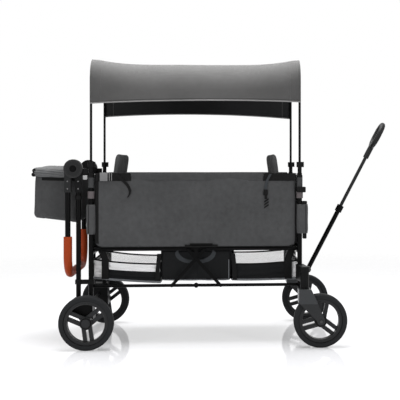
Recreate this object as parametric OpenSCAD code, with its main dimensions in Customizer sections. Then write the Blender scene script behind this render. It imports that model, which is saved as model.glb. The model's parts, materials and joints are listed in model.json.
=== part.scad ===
// Folding stroller wagon with two facing seats, a flat canopy and four equal wheels.
// X points forward, Y across, Z up; the origin is on the ground midway between the end frames.

/* [End frames] */
// Distance between the rear and the front posts
post_span = 850; // [800:5:900]
// Distance between the two posts of an end frame
post_gap = 480; // [450:5:540]
// Outer diameter of posts and uprights
post_d = 20; // [18:0.5:22]
// Wall of the posts and uprights
post_wall = 2; // [1.5:0.1:2.5]
// Height of the post tops
post_top = 700; // [680:1:730]
// Height of the floor rail pivots
floor_rail_z = 391; // [385:1:400]
// Height of the lower rail pivots
lower_rail_z = 239; // [236:1:245]
// Diameter of the cross bars
crossbar_d = 14; // [10:0.5:14]
// Height of the basket bars
basket_bar_z = 330; // [320:1:340]

/* [Wheels] */
// Diameter of the wheels
wheel_d = 216; // [200:1:220]
// Width of the tyres
tyre_w = 44; // [36:1:48]
// Depth of the tyres from tread to rim
tyre_depth = 19; // [15:0.5:24]
// Distance of the wheel mid planes outside the posts
wheel_offset = 100; // [46:1:110]
// Diameter of the axles
axle_d = 12; // [10:0.5:14]
// Distance of the rear axle behind the rear posts
rear_axle_back = 6; // [2:1:20]
// Distance of the caster stems ahead of the front posts
stem_ahead = 11; // [8:1:14]
// Trail of the front wheels behind their stems
caster_trail = 64; // [55:1:75]

/* [Push handle] */
// Height of the push handle hinges
hinge_z = 718; // [712:1:735]
// Distance of the hinge axis behind the rear posts
hinge_back = 71; // [68:1:76]
// Radius of the hinge discs
hinge_r = 38; // [34:0.5:40]
// Diameter of the handle tube
handle_d = 22; // [18:0.5:24]
// Diameter of the leather grip
grip_d = 34; // [28:0.5:36]
// Height of the lowest stretch of the folded handle
handle_low_z = 287; // [280:1:320]
// Bend radius of the handle corners
handle_bend_r = 80; // [60:1:100]
// Height where the leather grip ends
grip_end_z = 442; // [420:1:470]

/* [Pull handle] */
// Distance of the pull handle pivot ahead of the front posts
pull_ahead = 56; // [52:1:70]
// Height of the pull handle pivot
pull_z = 277; // [270:1:285]
// Tilt of the pull handle from upright
pull_tilt = 27.6; // [15:0.1:35]
// Length of the lower pull tube
pull_lower_len = 300; // [280:1:340]
// Distance from the pivot to the grip socket
pull_socket_at = 550; // [530:1:600]
// Radius of the ends of the grip loop
loop_r = 44; // [38:1:50]

/* [Canopy] */
// Height of the bow tops
bow_top = 1168; // [1120:1:1200]
// Diameter of the bow rods
bow_d = 10; // [8:0.5:10]
// Radius of the bow corners
bow_bend_r = 88; // [80:1:150]
// Drop of the canopy's near edge below the bow tops
canopy_drop = 194; // [170:1:210]
// Sag of the canopy cloth midway between the bows
canopy_sag = 20; // [8:1:24]

/* [Seats and bags] */
// Height of the seat backs along their lean
seat_back_h = 335; // [300:1:350]
// Thickness of the seat backs
seat_back_t = 24; // [20:1:40]
// Lean of the seat backs towards the middle
seat_lean = 8; // [5:0.5:10]
// Distance of the seat back feet inside the posts
seat_inset = 59; // [55:1:71]
// Length of the rear bag
bag_len = 174; // [150:1:180]
// Clearance of the rear bag from the handle hinges on each side
bag_clear = 31; // [26:1:46]
// Height of the rear bag
bag_h = 215; // [190:1:220]
// Clearance of the baskets, the pouch and the seats from the rails on each side
inner_clear = 15.5; // [13.5:0.5:30]

/* [Hidden] */
$fn = 48;

// One overrun for every cut, one seat gap, one radial running fit
overrun = 2;
seat_gap = 0.3;
run_fit = 0.05;

// Frame lines
post_x = post_span / 2;
post_y = post_gap / 2;
post_r = post_d / 2;
bar_r = crossbar_d / 2;
axle_z = wheel_d / 2;
axle_r = axle_d / 2;
wheel_r = wheel_d / 2;
wheel_y = post_y + wheel_offset;
rear_axle_x = -post_x - rear_axle_back;
stem_x = post_x + stem_ahead;
front_axle_x = stem_x + caster_trail;

// Rails: tubes inside the posts, halves with eyes side by side at the middle
rail_d = 13;
rail_r = rail_d / 2;
rail_gap = 1.5;
rail_y = post_y - post_r - rail_gap - rail_r;
rail_in = rail_y - rail_r;
rail_out = rail_y + rail_r;
inner_w = 2 * (rail_in - inner_clear);
eye_r = 10;
pin_r = 3;
pin_head = 3;
rail_end_back = 18;
eye_web_share = 0.6;
eye_split = 0.25;
eye_inset = 0.8;
eye_in = rail_in + eye_inset;
eye_out = rail_out - eye_inset;

// Brace legs and links: flat bars in planes outside the rails
leg_t = 4;
leg_w = 13;
leg_gap = 0.5;
leg_plane_a = rail_out + leg_gap;
leg_plane_b = leg_plane_a + leg_t + leg_gap;
link_plane = leg_plane_b + leg_t + leg_gap;
link_t = 3;
link_w = 16;
link_len = 26;
brace_reach = 100;
brace_rise = 110;
brace_len_share = 1.32;
brace_angle = atan2(brace_rise, brace_reach);
brace_len = brace_len_share * norm([brace_reach, brace_rise]);
rivet_r = 5;
rivet_h = 1.5;

// Posts and their fittings
rear_post_foot = 150;
front_post_foot = 244;
lug_w = 18;
lug_t = 5;
lug_drop = 12;
sleeve_low = 59;
sleeve_high = 9;
sleeve_wall = 2;
collar_low = 103;
collar_h = 29;
collar_wall = 3.5;
neck_r = 8.5;
neck_h = 24;
clamp_r = 13;
clamp_h = 22;
clamp_reach = 17;
cover_low = 452;
cover_h = 120;
cover_r = 18;
cover_set = 6;
cover_reach = 10;

// Push handle hinge
hinge_x = -post_x - hinge_back;
upright_off = 21;
arm_off = 22;
upright_x = hinge_x + upright_off;
arm_x = hinge_x - arm_off;
hinge_half_t = 13.7;
leg_half_w = 13;
leg_half_t = 12;
hinge_leg_len = 96;
hinge_pin_r = 6;
button_r = 13;
button_depth = 9;
button_proud = 3;
pin_end = 5;
upright_foot = rear_post_foot;
hinge_in = post_y - hinge_half_t - seat_gap / 2;
hinge_mid = post_y - seat_gap / 2;
hinge_out = post_y + seat_gap / 2 + hinge_half_t;

// Links between uprights and rear posts
link_ring_wall = 4;
top_link_h = 27;
top_link_low = 9;
low_link_z = 250;
low_link_h = 18;
link_arm_w = 12;

// Rear wheel brackets and brake
bracket_wall = 2;
wheel_clear = 6;
bracket_in = post_y - post_r - bracket_wall;
brake_x = (upright_x - post_x) / 2;
bracket_out = wheel_y - tyre_w / 2 - wheel_clear;
bracket_top = 196;
bracket_skirt = 150;
bracket_margin = 15;
axle_boss_r = 24;
brake_r = 6;
brake_z = 150;
brake_seat = 7;
pedal_w = 90;
pedal_len = 62;
pedal_t = 8;

// Wheels
tyre_round = 9;
rim_r = wheel_r - tyre_depth;
rim_ring = 15;
rim_w = 30;
hub_r = 25;
hub_w = 40;
cap_r = 17;
cap_h = 5;
spoke_w = 16;
spoke_gap = 10;
spoke_t = 16;
spoke_angles_rear = [157, 38, 278];
spoke_angles_front = [195, 323, 79];

// Forks and caster housings
crown_top = 236;
crown_h = 27;
crown_half = 25;
fork_clear = 5;
fork_t = 8;
fork_boss_r = 15;
tyre_clear = 6;
stem_r = 7;
housing_r = 18;
housing_top = 304;
stem_len = 60;
housing_flange = 21;
arm_low = 262;
arm_r = 14;
post_arm_r = 16;
flange_r = 21;
fork_in = tyre_w / 2 + fork_clear;
fork_out = fork_in + fork_t;

// Cross bars
top_bar_drop = 10;
floor_bar_drop = 20;
pull_bar_z = 275;
floor_bar_z = floor_rail_z - floor_bar_drop;
top_bar_z = post_top - top_bar_drop;

// Tub
mat_t = 8;
mat_low = floor_bar_z + bar_r + seat_gap;
mat_top = mat_low + mat_t;
end_panel_t = 8;
panel_t = 8;
panel_off = 2;
panel_lift = 8;
panel_low = floor_rail_z + panel_lift;
panel_top = post_top + panel_off;
panel_half = post_x - cover_r - seat_gap;
panel_corner = 24;
pad_h = 58;
pad_len = 205;
pad_back = 6;
pad_outer = post_x - end_panel_t / 2 - pad_back;
seat_side_gap = 12;
seat_back_w = inner_w - 2 * seat_side_gap;
pad_settle = 2.5;
foot_share = 0.557;
seat_channels = 6;
back_groove_share = 0.25;
pad_groove_share = 0.18;
side_share = 0.45;
end_share = 0.06;
bulge_share = 0.35;
draw_share = 0.03;
groove_power = 8;
seat_foot_x = post_x - seat_inset;
foot_raise = foot_share * seat_back_t / 2 * sin(seat_lean);
seat_back_foot = mat_top + pad_h + 2 * seat_gap - pad_settle;

// Baskets and pouch under the floor
cloth_wall = 3;
basket_in = 150;
basket_out = post_x - bar_r - seat_gap;
basket_low = 250;
basket_rise = 16;
basket_rim_in = 322;
basket_rim_out = 345;
pouch_half = 146;
pouch_low = 255;
pouch_shares = [[1, 1], [0.98, 0.35], [0.86, 0.1], [0.7, 0]];

// Rear bag
bag_ahead = 10;
bag_front = hinge_x + bag_ahead;
bag_w = 2 * (hinge_in - bag_clear);
bag_low = 500;
bag_rise = 20;
bag_wall = 5;
lid_t = 6;
lid_skirt = 35;
lid_over = 4;
strap_z = 590;
strap_h = 22;
strap_t = 4;
bag_top = bag_low + bag_h;

// Pull handle
pull_x = post_x + pull_ahead;
pull_r = 10;
pull_upper_r = 7.3;
pull_eye_r = 13;
pull_eye_w = 20;
pull_pin_r = 4;
pull_ear_t = 6;
pull_collar_r = 15;
pull_collar_h = 30;
pull_overlap = 70;
socket_r = 12;
socket_len = 58;
loop_rod_r = 11;
loop_straight = 16;
bar_clamp_wall = 5;

// Canopy
pole_foot = 560;
canopy_t = 2.5;
canopy_far_extra = 30;
canopy_lift = 15;
canopy_over = 6;
canopy_clear = 1.3;
canopy_steps = 16;
canopy_arc_steps = 8;
canopy_side_steps = 4;

// Soft forms
cushion_ring = 44;
cushion_levels = 8;

// Shared shapes
module sides() {
    children();
    mirror([0, 1, 0]) children();
}

module rod_y(x, z, y0, y1, r) {
    translate([x, y0, z]) rotate([-90, 0, 0]) cylinder(h = y1 - y0, r = r);
}

module rod_x(x0, x1, y, z, r) {
    translate([x0, y, z]) rotate([0, 90, 0]) cylinder(h = x1 - x0, r = r);
}

module rod_z(x, y, z0, z1, r) {
    translate([x, y, z0]) cylinder(h = z1 - z0, r = r);
}

module plate_y(y0, t) {
    translate([0, y0 + t, 0]) rotate([90, 0, 0]) linear_extrude(t) children();
}

module tube_z(x, y, z0, z1, r, wall) {
    difference() {
        rod_z(x, y, z0, z1, r);
        rod_z(x, y, z0 - overrun, z1 + overrun, r - wall);
    }
}

// A closed skin over a grid of points: rows of equal rings, flat ends
module ringed(rings) {
    n = len(rings[0]);
    m = len(rings);
    points = [for (ring = rings) each ring];
    walls = [for (i = [0 : m - 2], j = [0 : n - 1])
        each [[i * n + j, (i + 1) * n + (j + 1) % n, i * n + (j + 1) % n],
              [i * n + j, (i + 1) * n + j, (i + 1) * n + (j + 1) % n]]];
    low_end = [for (j = [1 : n - 2]) [0, j, j + 1]];
    high_end = [for (j = [1 : n - 2]) [(m - 1) * n, (m - 1) * n + j + 1, (m - 1) * n + j]];
    polyhedron(points, concat(walls, low_end, high_end));
}

// A closed sheet: rings that run out along one face and back along the other
module sheet(rings) {
    n = len(rings[0]);
    m = len(rings);
    points = [for (ring = rings) each ring];
    walls = [for (i = [0 : m - 2], j = [0 : n - 1])
        each [[i * n + j, (i + 1) * n + (j + 1) % n, i * n + (j + 1) % n],
              [i * n + j, (i + 1) * n + j, (i + 1) * n + (j + 1) % n]]];
    last = (m - 1) * n;
    low_end = [for (j = [0 : n / 2 - 2]) each [[j, j + 1, n - 1 - j], [j + 1, n - 2 - j, n - 1 - j]]];
    high_end = [for (f = low_end) [last + f[0], last + f[2], last + f[1]]];
    polyhedron(points, concat(walls, low_end, high_end));
}

// Posts with the pins that the rails turn on
module post_pins(x) {
    for (z = [floor_rail_z, lower_rail_z])
        rod_y(x, z, rail_in - pin_head, post_y - post_r / 2, pin_r);
}

module rear_posts() color("#1d1d1f") sides() {
    tube_z(-post_x, post_y, rear_post_foot, post_top, post_r, post_wall);
    difference() {
        post_pins(-post_x);
        rod_z(-post_x, post_y, rear_post_foot, post_top, post_r - post_wall);
    }
}

module front_posts() color("#1d1d1f") sides() difference() {
    union() {
        rod_z(post_x, post_y, front_post_foot, post_top, post_r);
        translate([post_x - lug_w / 2, post_y - post_r, lower_rail_z - lug_drop])
            cube([lug_w, lug_t, front_post_foot - lower_rail_z + lug_drop + lug_w]);
        rod_y(post_x, floor_rail_z, rail_in - pin_head, post_y - post_r / 2, pin_r);
        rod_y(post_x, lower_rail_z, rail_in - pin_head, post_y - post_r + lug_t, pin_r);
    }
    rod_z(post_x, post_y, front_post_foot - overrun, post_top + overrun, post_r - post_wall);
}

// Sleeve, collar and canopy pole guide on each post
module post_fittings(x) {
    bow_r = bow_d / 2;
    tube_z(x, post_y, post_top - sleeve_low, post_top - sleeve_high,
        post_r + sleeve_wall + run_fit, sleeve_wall);
    tube_z(x, post_y, post_top - collar_low, post_top - collar_low + collar_h,
        post_r + collar_wall + run_fit, collar_wall);
    difference() {
        union() {
            rod_z(x, post_y, post_top, post_top + neck_h, neck_r);
            rod_z(x, post_y, post_top + neck_h, post_top + neck_h + clamp_h, clamp_r);
            translate([x, post_y - clamp_r / 2, post_top + neck_h])
                cube([clamp_reach, clamp_r, clamp_h]);
        }
        rod_z(x, post_y, post_top - overrun, post_top + neck_h + clamp_h + overrun, bow_r + run_fit);
    }
}

module rear_post_fittings() color("#2a2a2c") sides() post_fittings(-post_x);

module front_post_fittings() color("#2a2a2c") sides() post_fittings(post_x);

// Cross bars between the posts of one end frame, saddled on the posts
module crossbars(x, heights, saddle_r) {
    for (z = heights)
        difference() {
            rod_y(x, z, -post_y, post_y, bar_r);
            sides() rod_z(x, post_y, z - bar_r - overrun, z + bar_r + overrun, saddle_r + run_fit);
        }
}

module rear_crossbars() color("#1d1d1f") {
    crossbars(-post_x, [basket_bar_z, floor_bar_z], post_r);
    crossbars(-post_x, [top_bar_z], post_r + link_ring_wall);
}

module front_crossbars() color("#1d1d1f") {
    for (z = [pull_bar_z, basket_bar_z])
        rod_y(post_x, z, -rail_out - seat_gap, rail_out + seat_gap, bar_r);
    crossbars(post_x, [floor_bar_z], post_r);
    crossbars(post_x, [top_bar_z], post_r + sleeve_wall + run_fit);
}

// Fixed uprights that carry the push handle
module handle_uprights() color("#1d1d1f") sides()
    tube_z(upright_x, post_y, upright_foot, hinge_z - hinge_r, post_r, post_wall);

// A hinge half: a disc and a leg that sockets a tube
module hinge_leg(x, tube_r) {
    difference() {
        translate([x - leg_half_w, post_y - leg_half_t, hinge_z - hinge_leg_len])
            cube([2 * leg_half_w, 2 * leg_half_t, hinge_leg_len]);
        rod_z(x, post_y, hinge_z - hinge_leg_len - overrun, hinge_z - hinge_r + run_fit, tube_r + run_fit);
    }
}

module handle_hinge_housings() color("#1f1f21") sides() {
    difference() {
        union() {
            rod_y(hinge_x, hinge_z, hinge_in, hinge_mid, hinge_r);
            hinge_leg(upright_x, post_r);
        }
        rod_y(hinge_x, hinge_z, hinge_mid, hinge_out + overrun, hinge_r + 2 * seat_gap);
    }
    rod_y(hinge_x, hinge_z, hinge_in, hinge_out - button_depth - pin_end * seat_gap, hinge_pin_r);
}

module handle_hinge_covers() color("#1f1f21") sides() difference() {
    union() {
        rod_y(hinge_x, hinge_z, post_y + seat_gap / 2, hinge_out, hinge_r);
        hinge_leg(arm_x, handle_d / 2);
    }
    rod_y(hinge_x, hinge_z, hinge_in - overrun, post_y + seat_gap / 2, hinge_r + 2 * seat_gap);
    rod_y(hinge_x, hinge_z, hinge_in, hinge_out + overrun, hinge_pin_r + run_fit);
    rod_y(hinge_x, hinge_z, hinge_out - button_depth, hinge_out + overrun, button_r + run_fit);
}

// Buttons stand proud of the covers with room behind them to travel
module hinge_button() {
    rod_y(hinge_x, hinge_z, hinge_out - button_depth / 2, hinge_out + button_proud, button_r);
}

module hinge_button_near() color("#303032") mirror([0, 1, 0]) hinge_button();

module hinge_button_far() color("#303032") hinge_button();

// Links that tie the uprights to the posts
module upright_links() color("#1f1f21") sides() {
    ring_r = post_r + link_ring_wall;
    top_z = post_top - top_link_low;
    difference() {
        union() {
            rod_z(-post_x, post_y, top_z, post_top, ring_r);
            translate([upright_x + leg_half_w + seat_gap, post_y - link_arm_w / 2, top_z])
                cube([-post_x - neck_r - overrun - upright_x - leg_half_w, link_arm_w, top_link_h]);
        }
        rod_z(-post_x, post_y, top_z - overrun, post_top, post_r + run_fit);
        rod_z(-post_x, post_y, post_top, top_z + top_link_h + overrun, clamp_r);
        rod_y(hinge_x, hinge_z, hinge_in, hinge_out, hinge_r + seat_gap);
    }
    difference() {
        union() {
            rod_z(-post_x, post_y, low_link_z, low_link_z + low_link_h, ring_r);
            rod_z(upright_x, post_y, low_link_z, low_link_z + low_link_h, ring_r);
            translate([upright_x, post_y - link_arm_w / 2, low_link_z])
                cube([-post_x - upright_x, link_arm_w, low_link_h]);
        }
        rod_z(-post_x, post_y, low_link_z - overrun, low_link_z + low_link_h + overrun, post_r + run_fit);
        rod_z(upright_x, post_y, low_link_z - overrun, low_link_z + low_link_h + overrun, post_r + run_fit);
        rail_way(-post_x, low_link_z, low_link_z + low_link_h);
    }
}

// Moulded brackets that hold the rear axles and the feet of both tubes
module rear_wheel_brackets() color("#1f1f21") sides() difference() {
    plate_y(bracket_in, bracket_out - bracket_in) {
        translate([rear_axle_x, axle_z]) circle(r = axle_boss_r);
        polygon([[upright_x - bracket_margin, bracket_top], [-post_x + bracket_margin, bracket_top],
            [-post_x + bracket_margin, bracket_skirt], [rear_axle_x + axle_boss_r, axle_z],
            [rear_axle_x - axle_boss_r, axle_z], [upright_x - bracket_margin, bracket_skirt]]);
    }
    rod_z(-post_x, post_y, rear_post_foot - seat_gap, bracket_top + overrun, post_r + run_fit);
    rod_z(upright_x, post_y, upright_foot - seat_gap, bracket_top + overrun, post_r + run_fit);
    rod_y(rear_axle_x, axle_z, bracket_in - overrun, bracket_out + overrun, axle_r + run_fit);
    rod_y(brake_x, brake_z, bracket_in - overrun, bracket_in + brake_seat, brake_r + run_fit);
}

module rear_axles() color("#8c8c8e") sides()
    rod_y(rear_axle_x, axle_z, bracket_in, wheel_y + hub_w / 2 - cap_h, axle_r);

// Brake bar that turns in the brackets, with its pedal
module brake_bar() color("#2a2a2c") {
    brake_end = bracket_in + brake_seat - seat_gap;
    rod_y(brake_x, brake_z, -brake_end, brake_end, brake_r);
    difference() {
        translate([brake_x - pedal_len, -pedal_w / 2, brake_z - pedal_t / 2])
            cube([pedal_len, pedal_w, pedal_t]);
        sides() translate([brake_x - pedal_len, pedal_w / 2, brake_z - pedal_t / 2 - overrun])
            cylinder(h = pedal_t + 2 * overrun, r = pedal_len / 3);
    }
}

// Wheels: a tyre with rounded shoulders, a rim with three double spokes
module tyre(x, y) translate([x, y, axle_z]) rotate([90, 0, 0]) rotate_extrude($fn = 72) {
    translate([rim_r, -tyre_w / 2]) square([tyre_depth - tyre_round, tyre_w]);
    translate([rim_r, tyre_round - tyre_w / 2]) square([tyre_depth, tyre_w - 2 * tyre_round]);
    for (end = [-1, 1])
        translate([wheel_r - tyre_round, end * (tyre_w / 2 - tyre_round)]) circle(r = tyre_round);
}

module rim(x, y, angles, out) {
    ring_in = rim_r - rim_ring;
    bore_end = out * (hub_w / 2 - cap_h);
    difference() {
        translate([x, y, axle_z]) union() {
            rotate([90, 0, 0]) rotate_extrude($fn = 72) translate([ring_in, -rim_w / 2])
                square([rim_ring - run_fit, rim_w]);
            rotate([90, 0, 0]) cylinder(h = hub_w, r = hub_r, center = true);
            rotate([90 * -out, 0, 0]) cylinder(h = hub_w / 2 + cap_h, r = cap_r);
            for (a = angles, s = [-1, 1])
                rotate([0, -a, 0])
                    translate([hub_r / 2, -spoke_t / 2, s * (spoke_gap + spoke_w) / 2 - spoke_w / 2])
                        cube([ring_in - hub_r / 2 + rim_ring / 3, spoke_t, spoke_w]);
        }
        rod_y(x, axle_z, min(y - out * (hub_w / 2 + overrun), y + bore_end + seat_gap * out),
            max(y - out * (hub_w / 2 + overrun), y + bore_end + seat_gap * out), axle_r + run_fit);
    }
}

module tyre_rear_near() color("#232325") tyre(rear_axle_x, -wheel_y);

module tyre_rear_far() color("#232325") tyre(rear_axle_x, wheel_y);

module tyre_front_near() color("#232325") tyre(front_axle_x, -wheel_y);

module tyre_front_far() color("#232325") tyre(front_axle_x, wheel_y);

module rim_rear_near() color("#2e2e30") rim(rear_axle_x, -wheel_y, spoke_angles_rear, -1);

module rim_rear_far() color("#2e2e30") rim(rear_axle_x, wheel_y, spoke_angles_rear, 1);

module rim_front_near() color("#2e2e30") rim_through(front_axle_x, -wheel_y, spoke_angles_front);

module rim_front_far() color("#2e2e30") rim_through(front_axle_x, wheel_y, spoke_angles_front);

module rim_through(x, y, angles) difference() {
    rim(x, y, angles, sign(y));
    rod_y(x, axle_z, y - hub_w, y + hub_w, axle_r + run_fit);
}

// Swivelling forks: a crown over the tyre, two legs and a stem
module fork(y) {
    difference() {
        union() {
            plate_y(y - fork_out, 2 * fork_out) fork_profile();
            rod_z(stem_x, y, crown_top - crown_h, crown_top, crown_half);
            rod_z(stem_x, y, crown_top, crown_top + stem_len, stem_r);
        }
        rod_y(front_axle_x, axle_z, y - fork_in, y + fork_in, wheel_r + tyre_clear);
        rod_y(front_axle_x, axle_z, y - fork_out - overrun, y + fork_out + overrun, axle_r + run_fit);
    }
}

module fork_profile() {
    translate([front_axle_x, axle_z]) circle(r = fork_boss_r);
    polygon([[stem_x - crown_half, crown_top], [stem_x + crown_half, crown_top],
        [stem_x + crown_half + crown_h / 2, crown_top - crown_h],
        [front_axle_x + fork_boss_r, axle_z + fork_boss_r / 2], [front_axle_x - fork_boss_r, axle_z],
        [stem_x - crown_half, crown_top - crown_h * 2]]);
}

module fork_near() color("#1f1f21") fork(-wheel_y);

module fork_far() color("#1f1f21") fork(wheel_y);

module front_axle(y) rod_y(front_axle_x, axle_z, y - fork_out - cap_h, y + fork_out + cap_h, axle_r);

module front_axle_near() color("#8c8c8e") front_axle(-wheel_y);

module front_axle_far() color("#8c8c8e") front_axle(wheel_y);

// The way past a post that the folding rails need
module rail_way(x, z0, z1) translate([x - housing_r, rail_in, z0 - overrun])
    cube([2 * housing_r, rail_d + seat_gap, z1 - z0 + 2 * overrun]);

// Housings that the fork stems turn in, with an arm to each front post
module caster_housings() color("#1f1f21") sides() difference() {
    union() {
        rod_z(stem_x, wheel_y, crown_top + seat_gap, housing_top, housing_r);
        rod_z(stem_x, wheel_y, housing_top, housing_top + housing_flange, flange_r);
        hull() {
            rod_z(stem_x, wheel_y, arm_low, housing_top + housing_flange, arm_r);
            rod_z(post_x, post_y, arm_low, housing_top + housing_flange, post_arm_r);
        }
    }
    rod_z(stem_x, wheel_y, crown_top - overrun, crown_top + stem_len + seat_gap, stem_r + run_fit);
    rod_z(post_x, post_y, arm_low - overrun, housing_top + housing_flange + overrun, post_r + run_fit);
    translate([post_x - lug_w, post_y - post_r - overrun, arm_low - overrun])
        cube([2 * lug_w, lug_t + overrun + seat_gap, lug_w]);
    rail_way(post_x, arm_low, housing_top + housing_flange);
}

// Rail halves: a tube, an eye at the post and a half-thickness eye at the middle
module rail_half(x_end, z, eye_low, eye_high) {
    dir = sign(x_end);
    tube_a = min(x_end - dir * eye_r / 2, dir * rail_end_back);
    tube_b = max(x_end - dir * eye_r / 2, dir * rail_end_back);
    difference() {
        union() {
            rod_x(tube_a, tube_b, rail_y, z, rail_r);
            rod_y(x_end, z, eye_in, eye_out, eye_r);
            rod_y(0, z, eye_low, eye_high, eye_r);
            translate([min(0, dir * (rail_end_back + eye_r)), eye_low, z - eye_r * eye_web_share])
                cube([rail_end_back + eye_r, eye_high - eye_low, 2 * eye_r * eye_web_share]);
        }
        rod_y(x_end, z, rail_in - overrun, rail_out + overrun, pin_r + run_fit);
    }
}

module middle_bore(z, clear) rod_y(0, z, rail_in - overrun, rail_out + overrun, pin_r + clear);

module upper_rail_rear() color("#1d1d1f") sides() {
    rail_half(-post_x, floor_rail_z, rail_y + eye_split, eye_out);
    rod_y(0, floor_rail_z, rail_in - pin_head, link_plane + link_t + pin_head / 2, pin_r);
}

module upper_rail_front() color("#1d1d1f") sides() difference() {
    rail_half(post_x, floor_rail_z, eye_in, rail_y - eye_split);
    middle_bore(floor_rail_z, run_fit);
}

module lower_rail_rear() color("#1d1d1f") sides() {
    rail_half(-post_x, lower_rail_z, rail_y + eye_split, eye_out);
    rod_y(0, lower_rail_z, rail_in - pin_head, rail_y + rail_r / 2, pin_r);
    rod_y(-brace_reach, lower_rail_z, rail_y, leg_plane_a + leg_t - seat_gap, pin_r);
}

module lower_rail_front() color("#1d1d1f") sides() difference() {
    union() {
        rail_half(post_x, lower_rail_z, eye_in, rail_y - eye_split);
        rod_y(brace_reach, lower_rail_z, rail_y, leg_plane_b + leg_t + rivet_h, pin_r);
    }
    middle_bore(lower_rail_z, seat_gap);
}

// Links that hang from the middle pivots of the floor rails
module centre_links() color("#1f1f21") sides() difference() {
    plate_y(link_plane, link_t) {
        translate([0, floor_rail_z]) circle(r = eye_r);
        translate([-link_w / 2, floor_rail_z - link_len]) square([link_w, link_len]);
        translate([0, floor_rail_z - link_len]) circle(r = link_w / 2);
    }
    rod_y(0, floor_rail_z, link_plane - overrun, link_plane + link_t + overrun, pin_r + run_fit);
}

// One leg of the X-brace, pinned to a lower rail
module brace_leg(dir, plane) difference() {
    translate([dir * brace_reach, 0, lower_rail_z])
        rotate([0, dir < 0 ? -brace_angle : brace_angle - 180, 0]) plate_y(plane, leg_t) {
            circle(r = leg_w / 2);
            translate([0, -leg_w / 2]) square([brace_len, leg_w]);
            translate([brace_len, 0]) circle(r = leg_w / 2);
        }
    rod_y(dir * brace_reach, lower_rail_z, plane - overrun, plane + leg_t + overrun, pin_r + run_fit);
}

module brace_rear() color("#1f1f21") sides() brace_leg(-1, leg_plane_a);

module brace_front() color("#1f1f21") sides() {
    brace_leg(1, leg_plane_b);
    rod_y(0, lower_rail_z + brace_rise, leg_plane_b + leg_t / 2, leg_plane_b + leg_t + rivet_h, rivet_r);
}

// Push handle: one bent tube and its leather sleeve
module handle_path(r, top) {
    flat = post_y - handle_bend_r;
    translate([arm_x, -flat, handle_low_z]) rotate([-90, 0, 0]) cylinder(h = 2 * flat, r = r);
    sides() {
        rod_z(arm_x, post_y, handle_low_z + handle_bend_r, top, r);
        translate([arm_x, flat, handle_low_z + handle_bend_r]) rotate([90, 0, 90]) rotate([0, 0, -90])
            rotate_extrude(angle = 90) translate([handle_bend_r, 0]) circle(r = r);
    }
}

module handle_tube() color("#1d1d1f") handle_path(handle_d / 2, hinge_z - hinge_r);

module handle_grip() color("#a4481f") difference() {
    handle_path(grip_d / 2, grip_end_z);
    handle_path(handle_d / 2 + run_fit, grip_end_z + overrun);
}

// Pull handle bracket: a clamp on the lowest front bar with two ears
module pull_bracket() color("#1f1f21") {
    ear_in = pull_eye_w / 2 + seat_gap;
    clamp_out = bar_r + bar_clamp_wall;
    difference() {
        union() {
            rod_y(post_x, pull_bar_z, -ear_in - pull_ear_t, ear_in + pull_ear_t, clamp_out);
            for (y0 = [-ear_in - pull_ear_t, ear_in])
                plate_y(y0, pull_ear_t) {
                    translate([pull_x, pull_z]) circle(r = pull_eye_r);
                    polygon([[post_x, pull_bar_z - clamp_out], [pull_x, pull_z - pull_eye_r],
                        [pull_x, pull_z + pull_eye_r], [post_x, pull_bar_z + clamp_out]]);
                }
        }
        rod_y(post_x, pull_bar_z, -ear_in - pull_ear_t - overrun,
            ear_in + pull_ear_t + overrun, bar_r + run_fit);
        translate([post_x - bar_r - clamp_out, -ear_in - pull_ear_t - overrun, pull_bar_z - clamp_out])
            cube([clamp_out, 2 * (ear_in + pull_ear_t + overrun), 2 * clamp_out]);
    }
    rod_y(pull_x, pull_z, -ear_in - pull_ear_t / 2, ear_in + pull_ear_t / 2, pull_pin_r);
}

module pull_frame() translate([pull_x, 0, pull_z]) rotate([0, pull_tilt, 0]) children();

module pull_tube_lower() color("#1d1d1f") pull_frame() difference() {
    union() {
        rod_y(0, 0, -pull_eye_w / 2, pull_eye_w / 2, pull_eye_r);
        rod_z(0, 0, pull_eye_r / 2, pull_lower_len, pull_r);
        rod_z(0, 0, pull_lower_len - pull_collar_h / 2, pull_lower_len + pull_collar_h / 2, pull_collar_r);
    }
    rod_y(0, 0, -pull_eye_w, pull_eye_w, pull_pin_r + run_fit);
    rod_z(0, 0, pull_eye_r + pull_pin_r, pull_lower_len + pull_collar_h, pull_upper_r + run_fit);
}

module pull_tube_upper() color("#1d1d1f") pull_frame()
    rod_z(0, 0, pull_lower_len - pull_overlap, pull_socket_at + socket_len / 2, pull_upper_r);

// Grip: a socket on the tube and an oval loop
module pull_grip() color("#1f1f21") pull_frame() difference() {
    loop_low = pull_socket_at + socket_len + loop_r;
    union() {
        rod_z(0, 0, pull_socket_at, pull_socket_at + socket_len, socket_r);
        for (s = [-1, 1])
            rod_z(0, s * loop_r, loop_low, loop_low + loop_straight, loop_rod_r);
        translate([0, 0, loop_low]) rotate([0, 90, 0]) rotate([0, 0, -90])
            rotate_extrude(angle = 180) translate([loop_r, 0]) circle(r = loop_rod_r);
        translate([0, 0, loop_low + loop_straight]) rotate([0, 90, 0]) rotate([0, 0, 90])
            rotate_extrude(angle = 180) translate([loop_r, 0]) circle(r = loop_rod_r);
    }
    rod_z(0, 0, pull_socket_at - overrun, pull_socket_at + socket_len / 2 + seat_gap,
        pull_upper_r + run_fit);
}

// Canopy bows: bent rods that slide in the posts
module bow(x) {
    flat = post_y - bow_bend_r;
    bow_r = bow_d / 2;
    rod_y(x, bow_top - bow_r, -flat, flat, bow_r);
    sides() {
        rod_z(x, post_y, pole_foot, bow_top - bow_r - bow_bend_r, bow_r);
        translate([x, flat, bow_top - bow_r - bow_bend_r]) rotate([90, 0, 90])
            rotate_extrude(angle = 90) translate([bow_bend_r, 0]) circle(r = bow_r);
    }
}

module canopy_bow_rear() color("#1d1d1f") bow(-post_x);

module canopy_bow_front() color("#1d1d1f") bow(post_x);

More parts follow.
